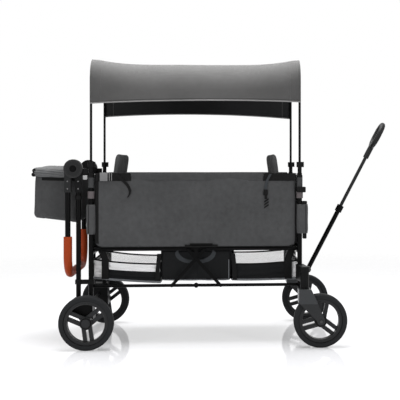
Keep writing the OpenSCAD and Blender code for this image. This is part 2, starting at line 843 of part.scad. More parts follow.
// Canopy cloth: one arched sheet that sags between the bows
canopy_r = bow_bend_r + bow_d / 2 + canopy_clear;
canopy_half_arch = concat(
    [for (i = [0 : canopy_side_steps - 1]) [i / canopy_side_steps, 0]],
    [for (i = [0 : canopy_arc_steps]) [1, i * 90 / canopy_arc_steps]]);
canopy_arch = concat(
    [for (step = canopy_half_arch) [-1, step[0], step[1]]],
    [for (i = [len(canopy_half_arch) - 1 : -1 : 0]) [1, canopy_half_arch[i][0], canopy_half_arch[i][1]]]);

// A step holds its side, how far it is up the drop, and its angle round the corner
function canopy_point(step, s, off) = let (
    flat = post_y - bow_bend_r,
    spring = bow_top - bow_d / 2 - bow_bend_r,
    low = bow_top - canopy_drop + canopy_lift * (1 - s * s) - (step[0] > 0 ? canopy_far_extra : 0),
    sag = canopy_sag * (1 - s * s) * pow(sin(step[2]), 2),
    r = canopy_r + off)
    [step[0] * (flat + r * cos(step[2])), low + (spring - low) * step[1] + r * sin(step[2]) - sag];

module canopy_cloth() color("#6a6a68") sheet([for (i = [0 : canopy_steps]) let (
    s = 2 * i / canopy_steps - 1,
    x = s * (post_x + canopy_over),
    outer = [for (step = canopy_arch) let (p = canopy_point(step, s, canopy_t)) [x, p[0], p[1]]],
    inner = [for (k = [len(canopy_arch) - 1 : -1 : 0])
        let (p = canopy_point(canopy_arch[k], s, 0)) [x, p[0], p[1]]])
    concat(outer, inner)]);

// Fabric panels and covers
module end_panel(x) translate([x - end_panel_t / 2, -inner_w / 2, mat_top + seat_gap])
    cube([end_panel_t, inner_w, top_bar_z - bar_r - mat_top - 2 * seat_gap]);

module rear_panel() color("#4b4b4d") end_panel(-post_x);

module front_panel() color("#4b4b4d") end_panel(post_x);

module post_covers(x) sides()
    tube_z(x, post_y, cover_low, cover_low + cover_h, cover_r, cover_r - post_r - seat_gap);

module rear_post_covers() color("#4b4b4d") post_covers(-post_x);

// The front covers reach further out than the rear ones
module front_post_covers() color("#4b4b4d") sides() difference() {
    union() {
        for (reach = [0, cover_reach])
            rod_z(post_x + cover_set + reach, post_y, cover_low, cover_low + cover_h, cover_r);
        translate([post_x + cover_set, post_y - cover_r, cover_low])
            cube([cover_reach, 2 * cover_r, cover_h]);
    }
    rod_z(post_x, post_y, cover_low - overrun, cover_low + cover_h + overrun, post_r + seat_gap);
}

module side_panel() plate_y(post_y + panel_off, panel_t) {
    translate([-panel_half, panel_low + panel_corner])
        square([2 * panel_half, panel_top - panel_low - panel_corner]);
    translate([panel_corner - panel_half, panel_low])
        square([2 * (panel_half - panel_corner), panel_corner]);
    for (s = [-1, 1])
        translate([s * (panel_half - panel_corner), panel_low + panel_corner]) circle(r = panel_corner);
}

module side_panel_near() color("#4b4b4d") mirror([0, 1, 0]) side_panel();

module side_panel_far() color("#4b4b4d") side_panel();

module floor_mat() color("#3a3a3c")
    translate([-post_x - bar_r, -inner_w / 2, mat_low]) cube([2 * (post_x + bar_r), inner_w, mat_t]);

// A cushion: crowned faces, drawn-in sides and sewn channels along its height
function cushion_loop(w, t, channels, depth, k) = [for (j = [0 : cushion_ring - 1]) let (
    a = 360 * (j + 1 / 2) / cushion_ring,
    y = w / 2 * sign(cos(a)) * pow(abs(cos(a)), side_share),
    groove = 1 - depth * pow(abs(cos(180 * channels * (y / w + 1 / 2))), groove_power),
    x = t / 2 * sign(sin(a)) * pow(abs(sin(a)), side_share) * groove)
    [x * k, y]];

module cushion(w, t, h, channels, depth) ringed([for (i = [0 : cushion_levels]) let (
    s = i / cushion_levels,
    bulge = pow(sin(180 * (end_share + (1 - 2 * end_share) * s)), bulge_share),
    draw = 1 - draw_share * pow(2 * s - 1, 2))
    [for (p = cushion_loop(w * draw, t, channels, depth, bulge)) [p[0], p[1], h * s]]]);

module seat_back(dir) translate([dir * seat_foot_x, 0, seat_back_foot + foot_raise])
    rotate([0, -dir * seat_lean, 0])
        cushion(seat_back_w, seat_back_t, seat_back_h, seat_channels, back_groove_share);

module rear_seat_back() color("#3f3f41") seat_back(-1);

module front_seat_back() color("#3f3f41") seat_back(1);

module seat_pads() color("#3f3f41") for (dir = [-1, 1])
    translate([dir * pad_outer, 0, mat_top + seat_gap + pad_h / 2]) rotate([0, -dir * 90, 0])
        cushion(seat_back_w, pad_h, pad_len, seat_channels, pad_groove_share);

// Open baskets that hang under the floor from the basket bars
module basket(dir) difference() {
    plate_y(-inner_w / 2, inner_w) basket_profile(dir, 0);
    plate_y(cloth_wall - inner_w / 2, inner_w - 2 * cloth_wall) basket_profile(dir, cloth_wall);
}

module basket_profile(dir, wall) polygon([
    [dir * (basket_in + wall), basket_low + wall],
    [dir * (basket_out - wall), basket_low + basket_rise + wall],
    [dir * (basket_out - wall), basket_rim_out + (wall > 0 ? overrun : 0)],
    [dir * (basket_in + wall), basket_rim_in + (wall > 0 ? overrun : 0)]]);

module basket_rear() color("#262628") basket(-1);

module basket_front() color("#262628") basket(1);

// Centre pouch that hangs from the floor mat
module pouch_profile(wall) {
    half = pouch_half - wall;
    low = pouch_low + wall;
    depth = mat_low - seat_gap - low + (wall > 0 ? overrun : 0);
    right = [for (p = pouch_shares) [half * p[0], low + depth * p[1]]];
    left = [for (i = [len(right) - 1 : -1 : 0]) [-right[i][0], right[i][1]]];
    polygon(concat(right, left));
}

module centre_pouch() color("#202022") difference() {
    plate_y(-inner_w / 2, inner_w) pouch_profile(0);
    plate_y(cloth_wall - inner_w / 2, inner_w - 2 * cloth_wall) pouch_profile(cloth_wall);
}

// Rear bag: an open box with a sloping base, held to the uprights by straps
module bag_profile(wall) polygon([
    [bag_front - bag_len + wall, bag_low + bag_rise + wall], [bag_front - wall, bag_low + wall],
    [bag_front - wall, bag_top + (wall > 0 ? overrun : 0)],
    [bag_front - bag_len + wall, bag_top + (wall > 0 ? overrun : 0)]]);

module bag_body() color("#464547") {
    difference() {
        plate_y(-bag_w / 2, bag_w) bag_profile(0);
        plate_y(bag_wall - bag_w / 2, bag_w - 2 * bag_wall) bag_profile(bag_wall);
    }
    sides() difference() {
        union() {
            rod_z(upright_x, post_y, strap_z, strap_z + strap_h, post_r + strap_t);
            translate([upright_x - post_r, bag_w / 2 - strap_t, strap_z])
                cube([strap_t, post_y - bag_w / 2 + strap_t, strap_h]);
            translate([bag_front - strap_t - post_r, bag_w / 2 - strap_t, strap_z])
                cube([upright_x - bag_front + strap_t + post_r, 2 * strap_t, strap_h]);
        }
        rod_z(upright_x, post_y, strap_z - overrun, strap_z + strap_h + overrun, post_r + seat_gap);
    }
}

// Lid: a cap with a skirt on three sides, hinged at the bag's front top edge
module bag_lid() color("#464547") {
    lid_half = bag_w / 2 + lid_over;
    lid_back = bag_front - bag_len - lid_over;
    lid_low = bag_top + seat_gap - lid_skirt;
    difference() {
        translate([lid_back - strap_t, -lid_half - strap_t, lid_low])
            cube([bag_front - lid_back + strap_t, 2 * (lid_half + strap_t), lid_skirt + lid_t]);
        translate([lid_back, -lid_half, lid_low - overrun])
            cube([bag_front - lid_back + overrun, 2 * lid_half, lid_skirt + overrun]);
    }
}

rear_posts();
rear_post_fittings();
handle_uprights();
handle_hinge_housings();
upright_links();
rear_crossbars();
rear_wheel_brackets();
rear_axles();
rear_panel();
rear_post_covers();
side_panel_near();
side_panel_far();
floor_mat();
seat_pads();
basket_rear();
basket_front();
centre_pouch();
bag_body();
bag_lid();
brake_bar();
handle_tube();
handle_grip();
handle_hinge_covers();
hinge_button_near();
hinge_button_far();
tyre_rear_near();
rim_rear_near();
tyre_rear_far();
rim_rear_far();
tyre_front_near();
rim_front_near();
tyre_front_far();
rim_front_far();
fork_near();
fork_far();
front_axle_near();
front_axle_far();
front_posts();
front_post_fittings();
front_crossbars();
caster_housings();
front_panel();
front_post_covers();
pull_bracket();
pull_tube_lower();
pull_tube_upper();
pull_grip();
canopy_bow_rear();
canopy_bow_front();
canopy_cloth();
upper_rail_rear();
upper_rail_front();
lower_rail_rear();
lower_rail_front();
centre_links();
brace_rear();
brace_front();
rear_seat_back();
front_seat_back();
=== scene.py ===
# %% [markdown]
# # A stroller wagon, dressed in Blender
# The frame, the wheels and the handles are already exact solids. This lesson loads them as a fixed
# frame, gives each one a finish, and makes what a solid modeller can't: the canopy, the fabric tub,
# the quilted seats, the baskets under the floor and the bag behind the handle.

# %% Load the frame
import json
import math

import bmesh
import bpy
from mathutils import Matrix, Vector, noise


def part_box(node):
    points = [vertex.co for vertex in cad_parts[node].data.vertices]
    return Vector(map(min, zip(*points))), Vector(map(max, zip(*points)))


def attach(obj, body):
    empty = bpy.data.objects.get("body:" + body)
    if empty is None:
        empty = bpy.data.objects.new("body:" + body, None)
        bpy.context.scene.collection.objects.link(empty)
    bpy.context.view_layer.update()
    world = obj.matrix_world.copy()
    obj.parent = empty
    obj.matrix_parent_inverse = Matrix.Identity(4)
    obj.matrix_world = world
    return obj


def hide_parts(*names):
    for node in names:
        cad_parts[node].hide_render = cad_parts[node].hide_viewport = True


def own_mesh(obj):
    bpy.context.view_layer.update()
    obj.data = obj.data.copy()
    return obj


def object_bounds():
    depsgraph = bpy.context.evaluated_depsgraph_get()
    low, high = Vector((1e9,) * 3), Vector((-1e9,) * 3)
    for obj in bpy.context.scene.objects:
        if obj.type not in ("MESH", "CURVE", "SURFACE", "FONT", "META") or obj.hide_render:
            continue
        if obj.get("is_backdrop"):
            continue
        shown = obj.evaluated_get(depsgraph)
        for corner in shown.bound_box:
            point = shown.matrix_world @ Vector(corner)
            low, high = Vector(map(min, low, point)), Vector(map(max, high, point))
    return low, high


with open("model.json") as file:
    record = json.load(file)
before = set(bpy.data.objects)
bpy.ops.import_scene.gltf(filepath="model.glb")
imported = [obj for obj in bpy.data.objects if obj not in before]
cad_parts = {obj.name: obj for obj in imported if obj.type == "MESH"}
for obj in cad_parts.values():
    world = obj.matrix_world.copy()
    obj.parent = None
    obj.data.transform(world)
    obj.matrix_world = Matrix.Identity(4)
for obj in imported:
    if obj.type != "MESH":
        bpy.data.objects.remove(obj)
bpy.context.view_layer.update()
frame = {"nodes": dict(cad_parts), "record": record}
scene = bpy.context.scene

# %% [markdown]
# ## The camera
# The photograph is a side view from a little above the tub, with a long lens. The near and far wheels
# give the distance. The rear wheel stands a little lower in the picture than the front one, so the
# camera is turned by some four degrees, and its lens is shifted until the wagon sits in place again.

# %% The camera at the photograph's place
camera = bpy.data.objects.new("camera", bpy.data.cameras.new("camera"))
scene.collection.objects.link(camera)
camera.location = (0.0812, -4.2146, 0.733)
camera.rotation_euler = (math.radians(90), 0, math.radians(-4.061))
camera.data.lens = 87.09
camera.data.sensor_width = 36
camera.data.shift_x, camera.data.shift_y = -0.2118, -0.0875
scene.camera = camera
scene.view_settings.view_transform = "Standard"
print("camera", tuple(camera.location))

# %% [markdown]
# ## Writing shaders as sums
# A finish is a small network of nodes. Wrapping a socket in a class with the usual operators lets a
# network be written as one line of arithmetic, and one method adds every other kind of node.


# %% The wire class
class Wire:
    """A socket in a finish's node tree; sums on it add Math nodes."""

    def __init__(self, tree, socket=None):
        self.tree, self.socket = tree, socket

    def add(self, kind, settings=None, sockets=None, out=0):
        """Adds one node: its settings first, then the values or wires of its sockets."""
        node = self.tree.nodes.new(kind)
        for name, value in (settings or {}).items():
            if name == "stops":
                while len(node.color_ramp.elements) < len(value):
                    node.color_ramp.elements.new(1)
                for stop, (place, shade) in zip(node.color_ramp.elements, value):
                    stop.position, stop.color = place, (shade, shade, shade, 1)
            else:
                setattr(node, name, value)
        for name, value in (sockets or {}).items():
            if isinstance(value, Wire):
                self.tree.links.new(value.socket, node.inputs[name])
            else:
                node.inputs[name].default_value = value
        return Wire(self.tree, node.outputs[out] if node.outputs else None)

    def sum(self, operation, *values):
        return self.add("ShaderNodeMath", {"operation": operation}, dict(enumerate(values)))

    def __add__(self, other):
        return self.sum("ADD", self, other)

    def __sub__(self, other):
        return self.sum("SUBTRACT", self, other)

    def __rsub__(self, other):
        return self.sum("SUBTRACT", other, self)

    def __mul__(self, other):
        return self.sum("MULTIPLY", self, other)

    def __pow__(self, other):
        return self.sum("POWER", self, other)

    def __abs__(self):
        return self.sum("ABSOLUTE", self)

    def __gt__(self, other):
        return self.sum("GREATER_THAN", self, other)

    __radd__, __rmul__ = __add__, __mul__

    def sine(self):
        return self.sum("SINE", self)

    def outputs(self, *names):
        """Wires of other outputs of this wire's node."""
        return [Wire(self.tree, self.socket.node.outputs[n]) for n in names]

    def parts(self):
        """The x, y and z of a vector."""
        return self.add("ShaderNodeSeparateXYZ", {}, {0: self}).outputs(0, 1, 2)

    def mix(self, low, high):
        """A colour between two, with this wire as the share of the second."""
        return self.add("ShaderNodeMix", {"data_type": "RGBA"}, {0: self, 6: low, 7: high}, out=2)

    def noise(self, scale, detail=3, roughness=0.5):
        """Cloudy noise read at this vector."""
        return self.add("ShaderNodeTexNoise", {},
                        {"Vector": self, "Scale": scale, "Detail": detail, "Roughness": roughness})

    def cells(self, scale):
        """Distance from the middles of scattered cells, read at this vector."""
        return self.add("ShaderNodeTexVoronoi", {}, {"Vector": self, "Scale": scale})

    def ramp(self, *stops):
        """This wire spread over a ramp of greys."""
        return self.add("ShaderNodeValToRGB", {"stops": stops}, {0: self})

    def bump(self, strength, distance):
        """A normal from this height."""
        return self.add("ShaderNodeBump", {}, {"Height": self, "Strength": strength, "Distance": distance})


print("wire class ready")


# %% Starting and ending a finish
def new_finish(name):
    """An empty finish: its material, and the wire of its coordinates."""
    made = bpy.data.materials.new(name)
    made.use_nodes = True
    made.node_tree.nodes.clear()
    place = Wire(made.node_tree).add("ShaderNodeTexCoord", out="Object")
    return made, place


def surface(finish, place, sockets, holes=None, glow=None):
    """Ends a finish in a Principled shader, plain white by the share of glow, clear where holes is 1."""
    skin = place.add("ShaderNodeBsdfPrincipled", {}, sockets)
    if glow is not None:
        white = place.add("ShaderNodeEmission", {}, {"Color": (1, 1, 1, 1), "Strength": 1})
        skin = place.add("ShaderNodeMixShader", {}, {0: glow, 1: skin, 2: white})
    if holes is not None:
        clear = place.add("ShaderNodeBsdfTransparent")
        skin = place.add("ShaderNodeMixShader", {}, {0: holes, 1: skin, 2: clear})
    place.add("ShaderNodeOutputMaterial", {}, {"Surface": skin})
    print("finish", finish.name)
    return finish


def grey(value, warm=0.0):
    """A near-neutral colour, a little warm or cool."""
    return (value * (1 + warm), value, value * (1 - warm), 1)


def shaded(colour, share):
    """A colour made darker or lighter by a share."""
    return tuple(c * share for c in colour[:3]) + (1,)


print("finish helpers ready")

# %% [markdown]
# ## The studio
# The photograph has a white, slightly glossy floor that mirrors the wheels. The floor fades into a white
# world at its rim, so no horizon shows. The lamps are large and soft, one above and one at each side of
# the camera, at a level where a colour renders about as it is written.

# %% Floor
FLOOR_R = 4.2
floor_finish, floor_place = new_finish("studio_floor")
floor_x, floor_y, _ = floor_place.parts()
floor_rim = ((floor_x * floor_x + floor_y * floor_y) ** 0.5 * (1 / FLOOR_R)).ramp((0.4, 0), (0.95, 1))
floor_seen = floor_place.add("ShaderNodeLightPath", out="Is Camera Ray")
surface(floor_finish, floor_place, {
    "Base Color": (0.92, 0.92, 0.95, 1), "Roughness": 0.06, "Specular IOR Level": 1.0, "IOR": 1.6},
    holes=floor_rim, glow=floor_seen * 0.3)
floor_form = bmesh.new()
bmesh.ops.create_circle(floor_form, cap_ends=True, segments=64, radius=FLOOR_R)
floor_mesh = bpy.data.meshes.new("studio_floor")
floor_form.to_mesh(floor_mesh)
floor_form.free()
floor_mesh.materials.append(floor_finish)
floor = bpy.data.objects.new("studio_floor", floor_mesh)
scene.collection.objects.link(floor)
floor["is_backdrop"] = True
print("floor", FLOOR_R, "m")

# %% World and lamps
WORLD_LIGHT = 0.42
world = bpy.data.worlds.new("studio")
scene.world = world
world.use_nodes = True
world.node_tree.nodes.clear()
ray = Wire(world.node_tree).add("ShaderNodeLightPath", out="Is Camera Ray")
seen = ray.sum("MAXIMUM", ray, ray.sum("MAXIMUM", *ray.outputs("Is Glossy Ray", "Is Transmission Ray")))
sky = ray.add("ShaderNodeBackground", {}, {
    "Color": (1, 1, 1, 1), "Strength": seen * (1 - WORLD_LIGHT) + WORLD_LIGHT})
ray.add("ShaderNodeOutputWorld", {}, {"Surface": sky})
for lamp_name, spot, aim, wide, tall, power in (
        ("top_lamp", (-0.1, 0.1, 3.0), (0, 0, 0.8), 2.0, 2.0, 160),
        ("left_lamp", (-2.2, -3.2, 1.6), (0, 0, 0.7), 0.4, 2.2, 36),
        ("right_lamp", (2.4, -2.8, 1.5), (0, 0, 0.7), 0.4, 2.2, 26)):
    lamp = bpy.data.objects.new(lamp_name, bpy.data.lights.new(lamp_name, "AREA"))
    lamp.data.shape = "RECTANGLE"
    lamp.data.size, lamp.data.size_y, lamp.data.energy = wide, tall, power
    lamp.location = spot
    lamp.rotation_euler = (Vector(aim) - Vector(spot)).to_track_quat("-Z", "Y").to_euler()
    scene.collection.objects.link(lamp)

# %% [markdown]
# ## Hard finishes
# The tubes are powder-coated in a satin black, with the fine orange-peel of baked paint. Mouldings are
# grained nylon. The tyres are closed-cell foam with a speckled, dull skin, and the leather of the grip is
# rust-orange with pores and darker creases. Painted maps would have to be fitted to every solid, so one
# function makes them all from noise, which follows any shape.


# %% Paint, plastic, foam and steel
def grained(name, colour, rough, grain, depth, spread=0.12, metal=0.0, gloss=0.1, bands=()):
    """A hard finish: slow drift of colour, a fine grain that breaks its gloss, and bands by height."""
    finish, place = new_finish(name)
    fine, drift = place.noise(grain, 2), place.noise(14, 3)
    worn = (drift - 0.5) * spread + (fine - 0.5) * spread
    shade = (worn + 0.5).mix(shaded(colour, 1 - spread), shaded(colour, 1 + 2 * spread))
    height = place.parts()[2]
    for low, high, tint in bands:
        shade = ((height > low) * (high - height > 0)).mix(shade, tint)
    return surface(finish, place, {
        "Base Color": shade, "Roughness": worn * 0.6 + rough, "Metallic": metal,
        "Specular IOR Level": gloss, "Normal": fine.bump(0.35, depth)})


tube_paint = grained("tube_paint", grey(0.003, -0.02), 0.2, 900, 0.00004, gloss=0.05)
moulded_nylon = grained("moulded_nylon", grey(0.005, -0.02), 0.4, 700, 0.0002, 0.2, gloss=0.06)
post_nylon = grained("post_nylon", grey(0.006, -0.02), 0.4, 700, 0.0002, 0.2, gloss=0.06, bands=(
    (0.596, 0.628, (0.10, 0.088, 0.09, 1)), (0.641, 0.682, grey(0.045, -0.02))))
rim_nylon = grained("rim_nylon", grey(0.010, -0.06), 0.34, 500, 0.0001, 0.2, gloss=0.2)
foam_tyre = grained("foam_tyre", grey(0.013, -0.05), 0.7, 350, 0.0004, 0.3)
axle_steel = grained("axle_steel", grey(0.05), 0.4, 1200, 0.00004, 0.2, metal=1.0)
buckle_grey = grained("buckle_grey", grey(0.15), 0.45, 700, 0.0001, 0.15)
painted_highlight_black = grained("painted_highlight_black", grey(0.018), 0.4, 700, 0.0001, 0.15, gloss=0.2)
# painted highlight: the rolled piping on the baskets' and the pouch's edges is made light grey to stand for
# the light it catches
piping_painted_highlight = grained("piping_painted_highlight", grey(0.11, -0.06), 0.3, 900, 0.0001, 0.2, gloss=0.4)
# painted light: the fork's upper block is painted lighter than its arms below 0.178 m, because light falls
# on its top
fork_nylon_painted_lit_top = grained("fork_nylon_painted_lit_top", grey(0.026, -0.06), 0.36, 700, 0.0002, 0.2, gloss=0.25, bands=(
    (0.0, 0.178, grey(0.011, -0.06)),))
cover_and_highlight_nylon = grained("cover_and_highlight_nylon", grey(0.014, -0.02), 0.4, 700, 0.0002, 0.2, gloss=0.1)
clip_grey = grained("clip_grey", grey(0.3), 0.45, 700, 0.0001, 0.15)

# %% Leather
grip_leather, skin_place = new_finish("grip_leather")
pores, creases = skin_place.cells(520), skin_place.noise(160, 4, 0.65)
tan_drift = skin_place.noise(22, 3)
tan_share = pores * 0.35 + creases * 0.45 + tan_drift * 0.5 - 0.15
surface(grip_leather, skin_place, {
    "Base Color": tan_share.mix((0.17, 0.020, 0.004, 1), (0.38, 0.055, 0.010, 1)),
    "Roughness": creases * 0.3 + 0.35, "Specular IOR Level": 0.1,
    "Normal": (pores * 0.6 + creases).bump(0.4, 0.0005)})

# %% [markdown]
# ## Woven finishes
# All the cloth is woven: a melange grey on the tub, the bag and the canopy, black nylon under the floor,
# ribbed webbing on the straps. Three sine waves crossed in pairs give threads on any face that lies
# along the axes, and fine noise flecks them, so no piece needs a map of its own.

# %% Woven cloth
PITCH = 0.0018


def woven(name, colour, rough=0.85, fleck=0.5, sheen=0.03, heather=0.3):
    """A plain weave: crossed threads, flecked and heathered yarn, and a slow drift of shade."""
    finish, place = new_finish(name)
    waves = [(axis * (2 * math.pi / PITCH)).sine() for axis in place.parts()]
    threads = waves[0] * waves[1] + waves[1] * waves[2] + waves[2] * waves[0]
    flecks, mottle, drift = place.noise(1100, 2), place.noise(55, 3), place.noise(7, 4)
    yarn = (flecks - 0.5) * fleck * 2 + (mottle - 0.5) * heather
    share = yarn + (drift - 0.5) * 0.9 + threads * 0.12 + 0.5
    return surface(finish, place, {
        "Base Color": share.mix(shaded(colour, 0.72), shaded(colour, 1.28)), "Roughness": rough,
        "Specular IOR Level": 0.08, "Sheen Weight": sheen, "Sheen Roughness": 0.5,
        "Normal": (threads * 0.5 + flecks).bump(0.4, 0.0005)})


tub_cloth = woven("tub_cloth", grey(0.059, -0.015), heather=0.7)
band_cloth = woven("band_cloth", grey(0.052, -0.01), heather=0.6)
bag_cloth = woven("bag_cloth", grey(0.053, -0.012), heather=0.7)
# painted light: the lid is the bag's grey cloth painted about twice as light, for its top lit from above
lid_cloth_painted_top_light = woven("lid_cloth_painted_top_light", grey(0.115, -0.012), heather=0.6)
canopy_cloth = woven("canopy_cloth", grey(0.066, 0.012), fleck=0.25, sheen=0.35)
hem_cloth = woven("hem_cloth", grey(0.2, 0.01), fleck=0.25)
lining_cloth = woven("lining_cloth", grey(0.022, -0.02), fleck=0.2)
seat_cloth = woven("seat_cloth", grey(0.085, -0.01), fleck=0.6)
floor_cloth = woven("floor_cloth", grey(0.02, -0.01))
black_nylon = woven("black_nylon", grey(0.007, -0.06), rough=0.6, fleck=0.3)
strap_grey = woven("strap_grey", grey(0.04, -0.08), fleck=0.3)

# %% Webbing and net
webbing, web_place = new_finish("webbing")
web_x, web_y, web_z = web_place.parts()
RIB_RATE = 2600
ribs = abs(((web_x + web_y + web_z) * RIB_RATE).sine())
surface(webbing, web_place, {
    "Base Color": ribs.mix(grey(0.002), grey(0.008)), "Roughness": 0.62, "Specular IOR Level": 0.08,
    "Normal": ribs.bump(0.5, 0.0005)})

basket_net, net_place = new_finish("basket_net")
NET_PITCH, NET_YARN = 0.0034, 0.2
# painted backlight: the same net is drawn denser on the near walls and more open on the others, so the white
# backdrop shows through the far net as if it were lit from behind
NEAR_NET_Y, NEAR_OPEN, FAR_OPEN = -0.19, 0.24, 0.90
net_axes = net_place.parts()
net_x, net_y, net_z = [abs((axis * (math.pi / NET_PITCH)).sine()) for axis in net_axes]
meshes = (net_z > NET_YARN) * (net_x + net_y > 2 * NET_YARN)
net_open_painted_backlight = (net_axes[1] > NEAR_NET_Y) * (FAR_OPEN - NEAR_OPEN) + NEAR_OPEN
yarn = net_place.noise(600, 2)
surface(basket_net, net_place, {
    "Base Color": yarn.mix(grey(0.80), grey(0.96)), "Roughness": 0.8,
    "Normal": (net_z + net_x).bump(0.5, 0.0006)}, holes=meshes * net_open_painted_backlight)

# %% [markdown]
# ## Finishes on the solids
# A solid whose shape is right keeps it and takes a finish through its record slot. The soft solids get a
# cloth here too, but each is replaced below by a sewn piece.

# %% Dress the solids
SLOT_FINISH = {
    "frame_tube": tube_paint, "moulding": moulded_nylon, "axle_steel": axle_steel, "wheel_rim": rim_nylon,
    "wheel_tyre": foam_tyre, "leather_grip": grip_leather, "tub_fabric": tub_cloth,
    "floor_fabric": floor_cloth, "seat_fabric": seat_cloth, "basket_fabric": black_nylon,
    "bag_fabric": bag_cloth, "canopy_fabric": canopy_cloth}
# the pull tube and grip take the lighter cover nylon as a painted highlight along their length
NODE_FINISH = {
    "rear_post_fittings": post_nylon, "front_post_fittings": post_nylon, "handle_hinge_covers": cover_and_highlight_nylon,
    "hinge_button_near": tube_paint, "hinge_button_far": tube_paint, "fork_near": fork_nylon_painted_lit_top,
    "fork_far": fork_nylon_painted_lit_top, "pull_tube_upper": cover_and_highlight_nylon, "pull_grip": cover_and_highlight_nylon}
slot_of = {row["node"]: row["material_slot"] for row in frame["record"]["subparts"]}
for node, solid in frame["nodes"].items():
    solid.data.materials.clear()
    solid.data.materials.append(NODE_FINISH.get(node, SLOT_FINISH[slot_of[node]]))
print("dressed", len(slot_of), "solids")

# %% [markdown]
# ## From a bmesh to a piece
# Each new piece is one bmesh. This helper writes it to a mesh at the origin, smooths it, gives it its
# finishes, lets it ride on a body of the frame, and hides the solids it stands for. A second one gives a
# soft piece a mesh of its own.

# %% Pieces and folds
SIDES, ENDS = ((-1, "near"), (1, "far")), ((-1, "rear"), (1, "front"))
FOLD_TRAVEL, TUB_REACH = 0.4908, 0.4067


def piece(name, form, finishes, body, stands_for=(), sharp=40, wall=0.0, round_off=0, lined=0):
    """Makes an object of a bmesh; a wall thickens a sheet, round_off subdivides it, lined lines it."""
    bmesh.ops.recalc_face_normals(form, faces=form.faces[:])
    mesh = bpy.data.meshes.new(name)
    form.to_mesh(mesh)
    form.free()
    mesh.polygons.foreach_set("use_smooth", [True] * len(mesh.polygons))
    mesh.set_sharp_from_angle(angle=math.radians(sharp))
    for finish in finishes if isinstance(finishes, tuple) else (finishes,):
        mesh.materials.append(finish)
    made = bpy.data.objects.new(name, mesh)
    scene.collection.objects.link(made)
    if round_off:
        soften = made.modifiers.new("round_off", "SUBSURF")
        soften.levels = soften.render_levels = round_off
    if wall:
        thicken = made.modifiers.new("wall", "SOLIDIFY")
        thicken.thickness, thicken.offset, thicken.material_offset = wall, 0, lined
    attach(made, body)
    if stands_for:
        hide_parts(*stands_for)
    print(name, len(mesh.polygons), "faces on", body)
    return made


def folds(made):
    """Gives a soft piece a mesh of its own."""
    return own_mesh(made)


print("sides", SIDES, "ends", ENDS)

# %% [markdown]
# ## Tools for cloth and straps
# Cloth starts as a grid, or as a box without a roof, whose points a function puts in place. A hem or a cord
# is a circle extruded along a path, and a strap is an edge extruded along a path and thickened. Curves with
# a bevel would do too, but these stay meshes that join one bmesh.


# %% Ripples, grids and boxes
def wave(point, scale, depth):
    """A smooth, fixed ripple at a point."""
    return depth * noise.noise(Vector(point) * scale)


def sheet_form(columns, rows, place):
    """A grid whose corners at -1 and 1 are put in place by a function of across and up."""
    form = bmesh.new()
    bmesh.ops.create_grid(form, x_segments=columns, y_segments=rows, size=1)
    for vert in form.verts:
        vert.co = place(vert.co.x, vert.co.y)
    return form


def rounded(point, low, high, radius):
    """Moves a point of a box onto the same box with rounded edges."""
    core = Vector(min(max(p, a + radius), b - radius) for p, a, b in zip(point, low, high))
    off = point - core
    return core + off.normalized() * radius if off.length > 1e-9 else point


def open_box(low, high, cuts, radius, roof=False):
    """A fine-meshed box with rounded edges, with or without its roof."""
    form = bmesh.new()
    bmesh.ops.create_cube(form, size=2)
    if not roof:
        top = [f for f in form.faces if f.calc_center_median().z > 0.9]
        bmesh.ops.delete(form, geom=top, context="FACES_ONLY")
    bmesh.ops.subdivide_edges(form, edges=form.edges[:], cuts=cuts, use_grid_fill=True)
    low, high = Vector(low), Vector(high)
    reach = high + Vector((0, 0, 0 if roof else 2 * radius))
    for vert in form.verts:
        spot = Vector((low[i] + (high[i] - low[i]) * (vert.co[i] + 1) / 2 for i in range(3)))
        vert.co = rounded(spot, low, reach, radius)
    return form


print("cloth tools ready")


# %% Paths, rolls and ribbons
def straight(start, end, count):
    """Evenly spaced points from start to end."""
    return [Vector(start).lerp(Vector(end), i / (count - 1)) for i in range(count)]


def circle(centre, along, up, radius, count):
    """Points round a circle and back to the first, from the direction along towards the direction up."""
    centre, along, up = Vector(centre), Vector(along) * radius, Vector(up) * radius
    turns = [2 * math.pi * i / count for i in range(count + 1)]
    return [centre + along * math.cos(a) + up * math.sin(a) for a in turns]


def roll(form, path, radius, sides=8):
    """A rolled edge or cord: a circle extruded along its path, square to it."""
    path = [Vector(p) for p in path]
    aims = [(path[min(i + 1, len(path) - 1)] - path[max(i - 1, 0)]).normalized() for i in range(len(path))]
    turn = Vector((0, 0, 1)).rotation_difference(aims[0]).to_matrix().to_4x4()
    last = Matrix.Translation(path[0]) @ turn
    ring = bmesh.ops.create_circle(form, cap_ends=True, segments=sides, radius=radius, matrix=last)["verts"]
    edges = {e for v in ring for e in v.link_edges}
    for i in range(1, len(path)):
        turn = aims[i - 1].rotation_difference(aims[i]).to_matrix().to_4x4() @ turn
        step = Matrix.Translation(path[i]) @ turn
        grown = bmesh.ops.extrude_edge_only(form, edges=list(edges))["geom"]
        ring = [g for g in grown if isinstance(g, bmesh.types.BMVert)]
        edges = {g for g in grown if isinstance(g, bmesh.types.BMEdge) and all(v in ring for v in g.verts)}
        bmesh.ops.transform(form, matrix=step @ last.inverted(), verts=ring)
        last = step
    bmesh.ops.edgeloop_fill(form, edges=list(edges))
    return form


def ribbon(form, path, across, thick):
    """A flat strap: an edge extruded along its path, then thickened."""
    path, half = [Vector(p) for p in path], Vector(across) / 2
    edge = form.edges.new([form.verts.new(path[0] - half), form.verts.new(path[0] + half)])
    faces = []
    for last, point in zip(path, path[1:]):
        grown = bmesh.ops.extrude_edge_only(form, edges=[edge])["geom"]
        fresh = [g for g in grown if isinstance(g, bmesh.types.BMVert)]
        bmesh.ops.translate(form, verts=fresh, vec=point - last)
        faces += [g for g in grown if isinstance(g, bmesh.types.BMFace)]
        edge = next(g for g in grown
                    if isinstance(g, bmesh.types.BMEdge) and all(v in fresh for v in g.verts))
    bmesh.ops.recalc_face_normals(form, faces=faces)
    bmesh.ops.solidify(form, geom=faces, thickness=thick)
    return form


print("path tools ready")


